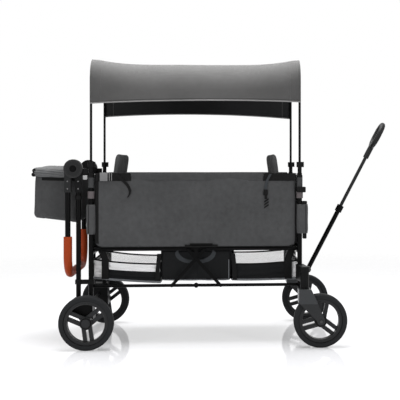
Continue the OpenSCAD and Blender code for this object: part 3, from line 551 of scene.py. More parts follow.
# %% Blocks and rivets
def block(form, low, high, radius, steps=2):
    """A small moulded block with rounded edges."""
    low, high = Vector(low), Vector(high)
    place = Matrix.Translation((low + high) / 2) @ Matrix.Diagonal((*(high - low), 1))
    verts = bmesh.ops.create_cube(form, size=1, matrix=place)["verts"]
    edges = {e for v in verts for e in v.link_edges}
    bmesh.ops.bevel(form, geom=list(edges), offset=radius, affect="EDGES", segments=steps, profile=0.5,
                    material=-1)


def plate(form, x, y, z, half, radius, steps=2):
    """A block between two x and two z, half thick to both sides of y."""
    block(form, (x[0], y - half, z[0]), (x[1], y + half, z[1]), radius, steps)


def rivet(form, centre, radius, height, out):
    """A low domed head that faces out."""
    turn = Vector((0, 0, 1)).rotation_difference(Vector(out)).to_matrix().to_4x4()
    squat = Matrix.Diagonal((1, 1, height / radius, 1))
    bmesh.ops.create_uvsphere(form, u_segments=12, v_segments=8, radius=radius,
                              matrix=Matrix.Translation(centre) @ turn @ squat)


print("hardware tools ready")

# %% [markdown]
# ## The canopy
# One sheet of grey cloth is stretched over two bent bows. It hangs straight at both sides, rounds the
# shoulders, and sags a little between the bows. A grid is laid along the arch: one coordinate runs along
# the wagon, the other along the arch by length, so the cells keep their shape. It could be simulated, but
# a taut sheet between two rods is a known curve.

# %% The canopy sheet
CANOPY_X, CANOPY_R, CANOPY_FLAT, SPRING_Z = 0.429, 0.0949, 0.152, 1.075
CANOPY_SAG, CANOPY_LEAN, CANOPY_RISE, CANOPY_SOFT, BOW_SHARE = 0.016, 0.15, 0.0015, 0.045, 0.94
# height of an edge at mid-length, its rise towards the front, and its drop towards both ends
NEAR_EDGE, FAR_EDGE = (0.9978, 0.0046, 0.0093), (0.9664, -0.003, 0.0166)


def canopy_sag(s):
    """How far the roof hangs below the bows at a share s of the half length."""
    return CANOPY_SAG * max(0.0, 1 - (abs(s) / BOW_SHARE) ** 4)


def canopy_place(s, t):
    """A point of the canopy: s along the wagon, t along the arch from the near to the far edge."""
    edges = [middle + rise * s - drop * s * s for middle, rise, drop in (NEAR_EDGE, FAR_EDGE)]
    near, top = CANOPY_FLAT + CANOPY_R, SPRING_Z + CANOPY_R + CANOPY_RISE * (1 + s)
    radius = CANOPY_R + CANOPY_SOFT * (1 - s ** 4)
    flat_half, spring = near - radius, top - radius
    drops = [spring - edge for edge in edges]
    arc = radius * math.pi / 2
    lengths = [drops[0], arc, 2 * flat_half, arc, drops[1]]
    along = (t + 1) / 2 * sum(lengths)
    if along <= lengths[0]:
        y, z, flat = -near, edges[0] + along, 0.0
    elif along <= sum(lengths[:2]):
        a = (along - lengths[0]) / radius
        y, z, flat = -flat_half - radius * math.cos(a), spring + radius * math.sin(a), math.sin(a)
    elif along <= sum(lengths[:3]):
        y, z, flat = along - sum(lengths[:2]) - flat_half, top, 1.0
    elif along <= sum(lengths[:4]):
        a = (along - sum(lengths[:3])) / radius
        y, z, flat = flat_half + radius * math.sin(a), spring + radius * math.cos(a), math.cos(a)
    else:
        y, z, flat = near, spring - (along - sum(lengths[:4])), 0.0
    slack = max(0.0, 1 - s * s)
    lean = CANOPY_LEAN * (1 - s ** 4) * (z - edges[y > 0]) / (top - edges[y > 0])
    spot = Vector((s * CANOPY_X, y * (1 - lean), z - canopy_sag(s) * flat * flat))
    spot.y += slack * (1 - flat) * wave(spot, 6, 0.004)
    spot.z += slack * flat * wave(spot, 5, 0.003)
    return spot


canopy_form = sheet_form(72, 72, canopy_place)
canopy = piece("canopy", canopy_form, (canopy_cloth, lining_cloth), "canopy_rear",
               ["canopy_cloth"], wall=0.0014, lined=1)
folds(canopy)

# %% Hems and pole sleeves of the canopy
hem_form = bmesh.new()
steps = [i / 24 - 1 for i in range(49)]
for edge in (-1, 1):
    roll(hem_form, [canopy_place(s, edge) for s in steps], 0.0026)
canopy_hem = piece("canopy_hem", hem_form, hem_cloth, "canopy_rear")
folds(canopy_hem)
sleeve_form = bmesh.new()
for s in (-0.998, -0.90, 0.90, 0.998):
    roll(sleeve_form, [canopy_place(s, t) for t in steps], 0.0016, 6)
canopy_seams = piece("canopy_seams", sleeve_form, canopy_cloth, "canopy_rear")
folds(canopy_seams)

# %% [markdown]
# ## The fabric tub
# Each side is one padded panel with rounded lower corners. It bows out a little over its stiffener and
# carries a band along the top, black webbing at the band's ends, a grey buckle and a few straps. The grid's
# rows are drawn in near the bottom to round the corners. Simulated cloth would sag here, where the real
# panel is stiff.

# %% Side panels
PANEL_LOW, PANEL_TOP, PANEL_CORNER, PANEL_Y = 0.399, 0.700, 0.024, 0.246
PANEL_BOW, EDGE_TURN, EDGE_WIDE = 0.0035, 0.007, 0.022
BAND_X, BAND_HALF, BAND_Y, BAND_Z, BAND_TALL = 0.006, 0.270, 0.2508, 0.6842, 0.031
WEB_Y, WEB_TALL = 0.2520, 0.032


def panel_place(side, s, t):
    """A point of a side panel: bowed out, softly rippled, and turned in at its upright edges."""
    z = PANEL_LOW + (PANEL_TOP - PANEL_LOW) * (t + 1) / 2
    drop = max(0.0, PANEL_CORNER - (z - PANEL_LOW))
    half = TUB_REACH - PANEL_CORNER + math.sqrt(max(0.0, PANEL_CORNER ** 2 - drop ** 2))
    x = s * half
    bow = (1 - s ** 8) * (1 - t ** 6)
    turned = EDGE_TURN * max(0.0, (abs(x) - TUB_REACH + EDGE_WIDE) / EDGE_WIDE) ** 2
    ripple = wave((x, side, z * 0.6), 9, 0.005) + wave((x * 1.4, side, z), 24, 0.0012)
    return Vector((x, side * (PANEL_Y - turned + bow * (PANEL_BOW + ripple)), z))


def side_sheet(side, label):
    """One side of the tub with its band, its binding and its webbing."""
    form = sheet_form(80, 32, lambda s, t: panel_place(side, s, t))
    made = folds(piece("side_cloth_" + label, form, tub_cloth, "rear_frame",
                       ["side_panel_" + label], wall=0.003))
    band = sheet_form(60, 4, lambda s, t: Vector((
        BAND_X + s * BAND_HALF, side * (BAND_Y + 0.0012 * t), BAND_Z + t * BAND_TALL / 2)))
    band = folds(piece("top_band_" + label, band, band_cloth, "rear_frame", wall=0.002))
    down = [(-1, 1 - i / 8) for i in range(16)]
    along = [(i / 24 - 1, -1) for i in range(49)]
    up = [(1, i / 8 - 1) for i in range(1, 17)]
    edge = [panel_place(side, s, t) + Vector((0, side * 0.0005, 0)) for s, t in down + along + up]
    bind = roll(bmesh.new(), edge, 0.0022, 6)
    bind = folds(piece("panel_binding_" + label, bind, webbing, "rear_frame"))
    webs = bmesh.new()
    for start, end in ((-0.404, -0.262), (0.274, 0.404)):
        line = straight((start, side * WEB_Y, BAND_Z), (end, side * WEB_Y, BAND_Z), 11)
        ribbon(webs, line, (0, 0, WEB_TALL), 0.002)
    # the wide black strip down the rear edge is partly binding and partly painted shade where the panel
    # curves in
    edge = [panel_place(side, -0.985, i / 10 - 0.9) + Vector((0, side * 0.003, 0)) for i in range(18)]
    ribbon(webs, edge, (0.013, side * 0.004, 0), 0.0015)
    webs = folds(piece("band_ends_" + label, webs, webbing, "rear_frame"))
    return made


for side, label in SIDES:
    side_sheet(side, label)

# %% Buckles and straps on the sides
BUCKLE_Y, BAR_Y, HOOK_Y = 0.2565, 0.2555, 0.2575
# x and z along the strap that hangs from the buckle and along the slack one near the front
HANGING = ((-0.322, 0.694), (-0.311, 0.6855), (-0.3003, 0.6734), (-0.2889, 0.664), (-0.2789, 0.6532),
           (-0.2705, 0.640), (-0.2663, 0.6255), (-0.2688, 0.6147), (-0.2756, 0.6018))
SLACK = ((0.3034, 0.6961), (0.2965, 0.682), (0.290, 0.669), (0.286, 0.656), (0.2845, 0.642), (0.284, 0.626))
# start, end, height and width of the two straps laid along the lower edge
FOOT_STRAPS = ((-0.046, 0.088, 0.4025, 0.011), (-0.025, 0.067, 0.4085, 0.009))
for side, label in SIDES:
    clip = bmesh.new()
    plate(clip, (-0.388, -0.3565), side * BUCKLE_Y, (0.668, 0.7025), 0.0035, 0.002)
    for x in (-0.350, -0.341):
        plate(clip, (x - 0.0018, x + 0.0018), side * BAR_Y, (0.669, 0.7015), 0.002, 0.001)
    folds(piece("band_buckle_" + label, clip, buckle_grey, "rear_frame"))
    slack = ribbon(bmesh.new(), [(x, side * BAR_Y, z) for x, z in SLACK], (0.012, 0, 0.002), 0.0016)
    folds(piece("slack_strap_" + label, slack, strap_grey, "rear_frame"))
    tail = bmesh.new()
    sweep = [(x, side * (0.2560 + 0.002 * math.sin(i)), z) for i, (x, z) in enumerate(HANGING)]
    ribbon(tail, sweep, (0.009, 0, 0.007), 0.0018)
    plate(tail, (0.2745, 0.2925), side * HOOK_Y, (0.609, 0.632), 0.003, 0.002)
    plate(tail, (0.2795, 0.2895), side * HOOK_Y, (0.5935, 0.61), 0.002, 0.0015)
    for z in (0.558, 0.570, 0.582):
        line = straight((0.278, side * BUCKLE_Y, z), (0.296, side * BUCKLE_Y, z + 0.012), 5)
        ribbon(tail, line, (0, 0, 0.006), 0.0018)
    for start, end, z, tall in FOOT_STRAPS:
        ribbon(tail, straight((start, side * WEB_Y, z), (end, side * WEB_Y, z), 11), (0, 0, tall), 0.002)
    folds(piece("side_straps_" + label, tail, webbing, "rear_frame"))

# %% [markdown]
# ## Ends, floor and post covers
# The ends of the tub are plain panels between the posts, a little bowed. The floor is a thin quilted mat
# on the rails, and cloth over the upper rails closes the gap between it and the sides and rises with them.
# Where the posts pass the tub a fabric sleeve is wrapped round each and closed with a seam. None of it hangs
# free, so grids, a box, ribbons and tubes with a few ripples are enough.

# %% End panels
POST_X, POST_Y = 0.425, 0.24
END_HALF, END_Z, END_TALL, END_BAND_HALF, END_BAND_Z = 0.2, 0.5347, 0.296, 0.196, 0.668


def end_panel(way, label):
    """One end of the tub, bowed outwards, with webbing across it."""
    x, body = way * POST_X, label + "_frame"

    def place(s, t):
        bow = (1 - s ** 6) * (1 - t ** 6) * (0.002 + wave((x, s, t), 2, 0.0015))
        return Vector((x + way * bow, s * END_HALF, END_Z + t * END_TALL / 2))

    made = piece(label + "_end_panel", sheet_form(36, 28, place), tub_cloth, body,
                 [label + "_panel"], wall=0.004)
    band_x = x + way * 0.0045
    line = straight((band_x, -END_BAND_HALF, END_BAND_Z), (band_x, END_BAND_HALF, END_BAND_Z), 11)
    band = ribbon(bmesh.new(), line, (0, 0, 0.028), 0.002)
    band = piece(label + "_end_band", band, webbing, body)
    return made


for way, label in ENDS:
    end_panel(way, label)

# %% Floor mat
MAT_HALF, MAT_WIDE, MAT_LOW, MAT_TOP, MAT_MIDDLE = 0.432, 0.2, 0.3784, 0.3862, 0.382
mat_form = open_box((-MAT_HALF, -MAT_WIDE, MAT_LOW), (MAT_HALF, MAT_WIDE, MAT_TOP), 47, 0.0035, roof=True)
for vert in mat_form.verts:
    crease = sum(math.exp(-((vert.co.x - x) / 0.004) ** 2) for x in (-0.216, 0, 0.216))
    vert.co.z -= 0.0022 * crease if vert.co.z > MAT_MIDDLE else 0
mat = folds(piece("floor_pad", mat_form, floor_cloth, "rear_frame", ["floor_mat"]))

# %% Rail covers
RAIL_COVER_Z, LIP_Y, LIP_Z, LIP_TALL = 0.4036, 0.2032, 0.392, 0.0236
# start, end, middle and width of the wide strip and of the narrow one beside the posts
RAIL_STRIPS = ((0.014, 0.350, 0.2195, 0.033), (0.351, 0.402, 0.2122, 0.0185))
for way, label in ENDS:
    cover = bmesh.new()
    for side in (-1, 1):
        for start, end, y, wide in RAIL_STRIPS:
            line = straight((start, side * y, RAIL_COVER_Z), (end, side * y, RAIL_COVER_Z), 31)
            line = [(way * p.x, p.y, p.z + wave((p.x, side, way), 14, 0.0007)) for p in line]
            ribbon(cover, line, (0, wide, 0), 0.0015)
        lip = straight((way * 0.029, side * LIP_Y, LIP_Z), (way * 0.401, side * LIP_Y, LIP_Z), 31)
        ribbon(cover, lip, (0, 0, LIP_TALL), 0.0014)
    cover = piece(label + "_rail_cover", cover, floor_cloth, "upper_rail_" + label)

# %% Post covers
COVER_LOW, COVER_TOP, COVER_R, COVER_HEM, COVER_GATHER = 0.452, 0.572, 0.0178, 0.004, 0.012
TUCK, TUCK_TURN, SEAM_SUNK = 0.10, 0.14, 0.96
# the front cover stands out forwards, and its seam mirrors the rear one's
for label, x, out_by, seam_turn in (("rear", -POST_X, 0.0, 2.05), ("front", 0.431, 0.010, 1.09)):
    wrap, seams = bmesh.new(), bmesh.new()
    for side in (-1, 1):
        middle = Matrix.Translation((x, side * POST_Y, (COVER_LOW + COVER_TOP) / 2))
        tube = bmesh.ops.create_cone(wrap, segments=40, radius1=COVER_R, radius2=COVER_R,
                                     depth=COVER_TOP - COVER_LOW, matrix=middle)["verts"]
        upright = {e for v in tube for e in v.link_edges if abs(e.verts[0].co.z - e.verts[1].co.z) > 0.01}
        bmesh.ops.subdivide_edges(wrap, edges=list(upright), cuts=20)
        seam_x = x + COVER_R * math.cos(seam_turn) + out_by
        seam_y = side * (POST_Y + COVER_R * SEAM_SUNK * math.sin(seam_turn))
        foot, head = (seam_x, seam_y, COVER_LOW + COVER_HEM), (seam_x, seam_y, COVER_TOP - COVER_HEM)
        roll(seams, straight(foot, head, 11), 0.0011, 6)
    for vert in wrap.verts:
        centre = Vector((x, math.copysign(POST_Y, vert.co.y), vert.co.z))
        out = vert.co - centre
        angle = math.atan2(out.y * math.copysign(1, centre.y), out.x)
        pull = 1 + wave(vert.co, 40, 0.05) - TUCK * math.exp(-((angle - seam_turn) / TUCK_TURN) ** 2)
        end = min(vert.co.z - COVER_LOW, COVER_TOP - vert.co.z) / COVER_GATHER
        vert.co = centre + out * pull * (1 - TUCK * max(0.0, 1 - end))
        vert.co.x += out_by if out.x > 0.0001 else out_by / 2 if abs(out.x) <= 0.0001 else 0
    made = piece(label + "_wraps", wrap, tub_cloth, label + "_frame",
                 [label + "_post_covers"], wall=0.0015)
    seams = piece(label + "_wrap_seams", seams, webbing, label + "_frame")

# %% Clips on the posts
CLIP_Y = 0.2425
# x from and to, z from and to, and half the depth of the three on each front post
POST_CLIPS = (((0.4125, 0.4490), (0.6205, 0.6435), 0.0165), ((0.4320, 0.4550), (0.5725, 0.5850), 0.0120),
              ((0.4370, 0.4530), (0.4300, 0.4535), 0.0100))
link_clips = bmesh.new()
for side in (-1, 1):
    plate(link_clips, (-0.457, -0.439), side * CLIP_Y, (0.674, 0.691), 0.0065, 0.002)
piece("link_clips", link_clips, clip_grey, "rear_frame")
for side, label in SIDES:
    clip = bmesh.new()
    for x, z, half in POST_CLIPS:
        plate(clip, x, side * CLIP_Y, z, half, 0.003)
    piece("front_post_clips_" + label, clip, webbing, "front_frame")

# %% [markdown]
# ## The seats
# Two seats face each other, with quilted pads and quilted backs. A cushion starts as a rounded box, is
# remeshed, and is blown up a little as cloth, which crowns its faces and draws its sides in. The sewn
# channels are pressed in afterwards, because the remesh would erase them.

# %% A blown-up cushion
VOXEL, CLOTH_PRESSURE, CLOTH_STEPS = 0.006, 4, 20


def cushion(size, cap):
    half = Vector(size) / 2
    slim = Vector((cap * 0.5, cap * 0.2, cap * 0.2))
    form = open_box(-(half - slim), half - slim, 24, min(half) * 0.75, roof=True)
    mesh = bpy.data.meshes.new("cushion")
    bmesh.ops.recalc_face_normals(form, faces=form.faces[:])
    form.to_mesh(mesh)
    form.free()
    made = bpy.data.objects.new("cushion", mesh)
    scene.collection.objects.link(made)
    block_up = made.modifiers.new("remesh", "REMESH")
    block_up.mode, block_up.voxel_size = "VOXEL", VOXEL
    start = bpy.data.meshes.new_from_object(made.evaluated_get(bpy.context.evaluated_depsgraph_get()))
    made.modifiers.clear()
    made.data = start
    rest = [v.co.copy() for v in start.vertices]
    cloth = made.modifiers.new("cloth", "CLOTH")
    cloth.settings.use_pressure, cloth.settings.uniform_pressure_force = True, CLOTH_PRESSURE
    cloth.settings.effector_weights.gravity = 0
    cloth.settings.quality = 5
    cloth.point_cache.frame_start, cloth.point_cache.frame_end = 1, CLOTH_STEPS
    for step in range(1, CLOTH_STEPS + 1):
        scene.frame_set(step)
    mesh = bpy.data.meshes.new_from_object(made.evaluated_get(bpy.context.evaluated_depsgraph_get()))
    scene.frame_set(1)
    bpy.data.objects.remove(made)
    for vert, was in zip(mesh.vertices, rest):
        move = vert.co - was
        vert.co = was + move * min(1.0, cap / max(move.length, 1e-9))
    made = bmesh.new()
    made.from_mesh(mesh)
    return made


print("cushion helper ready")

# %% Sewn channels
SEAM_WIDE, GROOVE_WIDE, GROOVE_DEEP = 0.007, 0.003, 0.0035


def quilt(form, size, channels, depth):
    """Presses sewn channels along the height into both faces and piping grooves into the sides."""
    thick, wide, high = size
    for vert in form.verts:
        x, y, z = vert.co
        cell = (y / wide + 0.5) * channels
        seam = abs(cell - round(cell)) * wide / channels
        fade = 1 - min(1.0, abs(z) / (high / 2)) ** 10
        if 0 < round(cell) < channels:
            press = depth * fade * math.exp(-(seam / SEAM_WIDE) ** 2) * min(1.0, abs(x) / (thick / 4))
            vert.co.x -= math.copysign(press, x)
        edge = min(abs(abs(x) - thick * 0.24), abs(x))
        groove = GROOVE_DEEP * math.exp(-(edge / GROOVE_WIDE) ** 2)
        if abs(y) > wide / 2 - 0.02:
            vert.co.y -= math.copysign(groove, y)
        if z > high / 2 - 0.02:
            vert.co.z -= groove


BACK_SIZE, BACK_CROWN = (0.024, 0.376, 0.343), 0.004
PAD_SIZE, PAD_CROWN = (0.058, 0.376, 0.205), 0.010
CHANNELS, CHANNEL_DEEP = 5, 0.007
back_form, pad_form = cushion(BACK_SIZE, BACK_CROWN), cushion(PAD_SIZE, PAD_CROWN)
quilt(back_form, BACK_SIZE, CHANNELS, CHANNEL_DEEP)
quilt(pad_form, PAD_SIZE, CHANNELS, CHANNEL_DEEP)
print("cushions", len(back_form.faces), len(pad_form.faces))

# %% Place the seats
LEAN, FOOT_X, FOOT_Z, PAD_X, PAD_Z = math.radians(8), 0.366, 0.4448, 0.3125, 0.4156
for way, label in ENDS:
    form = back_form.copy()
    lie = Matrix.Translation((way * FOOT_X, 0, FOOT_Z)) @ Matrix.Rotation(-way * LEAN, 4, "Y")
    bmesh.ops.transform(form, matrix=lie @ Matrix.Translation((0, 0, BACK_SIZE[2] / 2)), verts=form.verts[:])
    made = piece(label + "_back_cushion", form, seat_cloth, label + "_seat_back",
                 [label + "_seat_back"], sharp=180, round_off=1)
    # painted shade: black cords laid in the sewn channels darken them as the shade in their grooves
    shade_cords = bmesh.new()
    for k in range(1, CHANNELS):
        for face in (-1, 1):
            x, y = face * 0.0085, BACK_SIZE[1] * (k / CHANNELS - 0.5)
            roll(shade_cords, [lie @ p for p in straight((x, y, 0.02), (x, y, 0.316), 21)], 0.0028, 6)
    piece(label + "_back_seams", shade_cords, webbing, label + "_seat_back")
seats = bmesh.new()
for way in (-1, 1):
    form = pad_form.copy()
    lie = Matrix.Translation((way * PAD_X, 0, PAD_Z)) @ Matrix.Rotation(math.radians(90), 4, "Y")
    bmesh.ops.transform(form, matrix=lie, verts=form.verts[:])
    holder = bpy.data.meshes.new("pad")
    form.to_mesh(holder)
    seats.from_mesh(holder)
    form.free()
back_form.free()
pad_form.free()
seat_pads = folds(piece("seat_cushions", seats, seat_cloth, "rear_frame", ["seat_pads"],
                        sharp=180, round_off=1))

# %% [markdown]
# ## Under the floor
# Two open baskets hang from bars, black below and white net above, with a bound rim. Between them hangs a
# black pouch with two webbing handles on each side. Each is a box without a roof whose rim is skewed and
# whose walls sag and ripple. A simulation would need a pin at every strap, so the slump is a few waves.

# %% The baskets' shape
BASKET_IN, BASKET_OUT, BASKET_HALF, BASKET_ROUND = 0.1475, 0.4172, 0.1985, 0.006
# height of the rim and of the base at the inner wall, each with its rise to the outer wall
BASKET_HEIGHTS = {-1: (0.324, 0.022, 0.2475, 0.0215), 1: (0.324, 0.012, 0.2575, 0.003)}
FAR_RIM = 0.013


def basket_place(way, x, y, up):
    """A point of a basket's wall: its rim and base slope, it bellies, folds and slumps."""
    rim, rim_rise, base, base_rise = BASKET_HEIGHTS[way]
    share = (abs(x) - BASKET_IN) / (BASKET_OUT - BASKET_IN)
    low, high = base + base_rise * share, rim + rim_rise * share + (FAR_RIM if way > 0 and y > 0 else 0)
    soft = max(0.0, 4 * up * (1 - up))
    out = 0.002 * soft + wave((x * 0.5, y, up * 0.9), 9, 0.006) * soft
    y += math.copysign(out, y) if abs(y) > 0.15 else 0
    slump = 0.003 * math.sin(math.pi * share) * (1 + up) + wave((x, y, 0.7), 6, 0.002)
    return Vector((x, y, low + (high - low) * up - slump))


def basket_corners(way):
    """The low and the high corner of a basket's plan, with room below and above."""
    ends = sorted((way * BASKET_IN, way * BASKET_OUT))
    return Vector((ends[0], -BASKET_HALF, -1)), Vector((ends[1], BASKET_HALF, 1))


def basket_cloth(way):
    """The open box of a basket, with net on the upper part of its outer walls."""
    form = open_box((-1, -1, -1), (1, 1, 1), 30, 0.0)
    # the net starts higher on the near wall, and the outer end is nearly all net
    for face in form.faces:
        middle = face.calc_center_median()
        inner_wall, near_front = middle.x * way < -0.99, middle.y < -0.99 and way > 0
        net_from = 0.15 if middle.y < -0.99 else -0.3
        if middle.x * way > 0.76:
            net_from, near_front = -0.85, False
        wall = abs(face.normal.z) < 0.5 and not inner_wall and not near_front
        face.material_index = 1 if wall and middle.z > net_from else 0
    low, high = basket_corners(way)
    for vert in form.verts:
        flat = Vector((low.x + (high.x - low.x) * (vert.co.x + 1) / 2, BASKET_HALF * vert.co.y, 0))
        flat = rounded(flat, low, high, BASKET_ROUND)
        vert.co = basket_place(way, flat.x, flat.y, (vert.co.z + 1) / 2)
    return form


print("basket rims", BASKET_HEIGHTS)

# %% Baskets with rims and straps
STRAP_Y, STRAP_X = 0.2095, {-1: (0.3715, 0.405), 1: (0.381, 0.405)}
INNER_STRAP = ((0.151, 0.368), (0.154, 0.34), (0.158, 0.3), (0.159, 0.258))


def basket_straps(form, way):
    """Adds the straps that hold a basket's outer and inner corners."""
    for side in (-1, 1):
        x = way * STRAP_X[way][side > 0]
        foot = basket_place(way, x, side * BASKET_HALF, 0.03).z
        outer = [(x + way * 0.020, 0.392), (x + way * 0.008, 0.366)]
        outer += [(x, z) for z in (0.345, 0.325, 0.3, foot)]
        inner = [(way * px, z) for px, z in INNER_STRAP]
        for line, wide in ((outer, 0.029), (inner, 0.018)):
            ribbon(form, [(px, side * STRAP_Y, z) for px, z in line], (wide, 0, 0), 0.002)


for way, label in ENDS:
    made = folds(piece(label + "_basket", basket_cloth(way), (black_nylon, basket_net), "rear_frame",
                       ["basket_" + label], wall=0.002, sharp=180))
    low, high = basket_corners(way)
    corners = [(low.x, low.y, 0), (high.x, low.y, 0), (high.x, high.y, 0), (low.x, high.y, 0)]
    turned = corners[1:] + corners[:1]
    ring = [p for start, end in zip(corners, turned) for p in straight(start, end, 25)[:-1]]
    ring = [rounded(p, low, high, BASKET_ROUND) for p in ring + ring[:1]]
    rim = roll(bmesh.new(), [basket_place(way, p.x, p.y, 1.0) for p in ring], 0.0034)
    basket_straps(rim, way)
    rim = folds(piece(label + "_basket_rim", rim, webbing, "rear_frame"))
    hem = roll(bmesh.new(), [basket_place(way, p.x, p.y * 1.02, 0.035) for p in ring], 0.0048)
    hem = folds(piece(label + "_basket_piping", hem, piping_painted_highlight, "rear_frame"))

# %% Centre pouch
POUCH_HALF, POUCH_WIDE, POUCH_LOW, POUCH_TOP = 0.145, 0.199, 0.256, 0.3775
LOOP_Y, LOOP_Z, LOOP_DROP, LOOP_WIDE = 0.2062, 0.378, 0.043, 0.013
PIPING_HALF, PIPING_X, PIPING_Z = 0.137, 0.134, POUCH_LOW + 0.004
pouch_form = open_box((-POUCH_HALF, -POUCH_WIDE, POUCH_LOW), (POUCH_HALF, POUCH_WIDE, POUCH_TOP), 30, 0.009)
for vert in pouch_form.verts:
    up = (vert.co.z - POUCH_LOW) / (POUCH_TOP - POUCH_LOW)
    vert.co.x *= 1 - 0.025 * (1 - up) ** 2
    pucker = wave(vert.co, 18, 0.004) + 0.0025 * math.sin(vert.co.x * 90) * (1 - up)
    if abs(vert.co.y) > 0.16:
        vert.co.y += math.copysign(min(0.0, pucker - 0.002), vert.co.y)
    vert.co.z += max(-0.001, wave(vert.co, 12, 0.004)) * (1 - up)
pouch = folds(piece("pouch", pouch_form, black_nylon, "rear_frame", ["centre_pouch"],
                    wall=0.002, sharp=180))
loops, seams = bmesh.new(), bmesh.new()
turns = [math.pi / 2 * i / 12 for i in range(13)]
for side in (-1, 1):
    for start, end in ((-0.081, -0.022), (0.074, 0.012)):
        arc = [(start + (end - start) * (1 - math.cos(a)), side * LOOP_Y, LOOP_Z - LOOP_DROP * math.sin(a))
               for a in turns]
        ribbon(loops, arc, (LOOP_WIDE, 0, math.copysign(LOOP_WIDE, end - start)), 0.0018)
    y = side * 0.2022
    roll(seams, straight((-PIPING_HALF, y, PIPING_Z), (PIPING_HALF, y, PIPING_Z), 21), 0.0022, 6)
    y = side * 0.2036
    roll(seams, straight((PIPING_X, y, PIPING_Z + 0.002), (PIPING_X, y, PIPING_Z + 0.082), 11), 0.0018, 6)
loops = folds(piece("pouch_handles", loops, strap_grey, "rear_frame"))
seams = folds(piece("pouch_piping", seams, piping_painted_highlight, "rear_frame"))

# %% [markdown]
# ## The rear bag
# A soft bag hangs between the handle uprights. Its base slopes up to the rear, its walls belly, and its
# lid is a puffed cap with creased sides and two rolled edges at its rear. Both are boxes whose points are
# moved by a few smooth terms, which can be tuned one by one where a simulation can't.

# %% Bag body
BAG_BACK, BAG_FRONT, BAG_HALF, BAG_ROUND = -0.6595, -0.4865, 0.1935, 0.014
BAG_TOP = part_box("bag_body")[1].z - 0.001
BASE_Z, BASE_RISE, BASE_TUCK, TUCK_SHARE, BELLY = 0.4985, 0.020, 0.075, 0.09, 0.0025
bag_middle = Vector(((BAG_BACK + BAG_FRONT) / 2, 0, 0))
bag_form = open_box((BAG_BACK, -BAG_HALF, 0), (BAG_FRONT, BAG_HALF, 1), 30, 0.0)
for vert in bag_form.verts:
    up = vert.co.z
    spot = rounded(Vector((vert.co.x, vert.co.y, 0)), Vector((BAG_BACK, -BAG_HALF, -1)),
                   Vector((BAG_FRONT, BAG_HALF, 1)), BAG_ROUND)
    share = (BAG_FRONT - spot.x) / (BAG_FRONT - BAG_BACK)
    base = BASE_Z + BASE_RISE * share
    spot = bag_middle + (spot - bag_middle) * (1 - BASE_TUCK * max(0.0, 1 - up / TUCK_SHARE) ** 2)
    belly = math.sin(math.pi * min(1, up)) * BELLY + wave((spot.x * 1.5, spot.y, up * 0.15), 11, 0.003)
    spot += Vector((spot.x - bag_middle.x, spot.y * 0.45, 0)).normalized() * belly * min(1.0, 4 * (1 - up))
    spot.x += (0.0095 * up - 0.003) * max(0.0, 2 * share - 1) ** 2
    vert.co = Vector((spot.x, spot.y, base + (BAG_TOP - base) * up))
bag = piece("bag", bag_form, bag_cloth, "rear_frame", ["bag_body"], wall=0.003, sharp=180)

# %% Trim of the bag
UPRIGHT_X, UPRIGHT_WRAP, TAB_X, TAB_Z, CORNER_Z = -0.475, 0.0135, -0.489, 0.601, 0.532
bag_trim = bmesh.new()
lid_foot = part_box("bag_lid")[0].z
for side in (-1, 1):
    y = side * (BAG_HALF - 0.006)
    roll(bag_trim, straight((BAG_BACK + 0.010, y, CORNER_Z), (BAG_BACK + 0.0164, y, BAG_TOP), 9), 0.0025, 6)
    # the black strip along the foot of the lid is partly binding and partly painted shade under the lid's
    # edge
    y = side * (BAG_HALF + 0.004)
    mouth = straight((BAG_BACK + 0.03, y, lid_foot - 0.004), (BAG_BACK + 0.17, y, lid_foot - 0.008), 21)
    ribbon(bag_trim, mouth, (0, 0, 0.012), 0.0018)
    for z in (0.5975, 0.6045):
        loop = circle((UPRIGHT_X, side * POST_Y, z), (1, 0, 0), (0, side, 0), UPRIGHT_WRAP, 24)
        ribbon(bag_trim, loop, (0, 0, 0.0075), 0.0018)
    tab = straight((TAB_X, side * 0.192, TAB_Z), (TAB_X, side * 0.228, TAB_Z), 7)
    ribbon(bag_trim, tab, (0, 0, 0.020), 0.0018)
bag_trim = piece("bag_trim", bag_trim, webbing, "rear_frame")

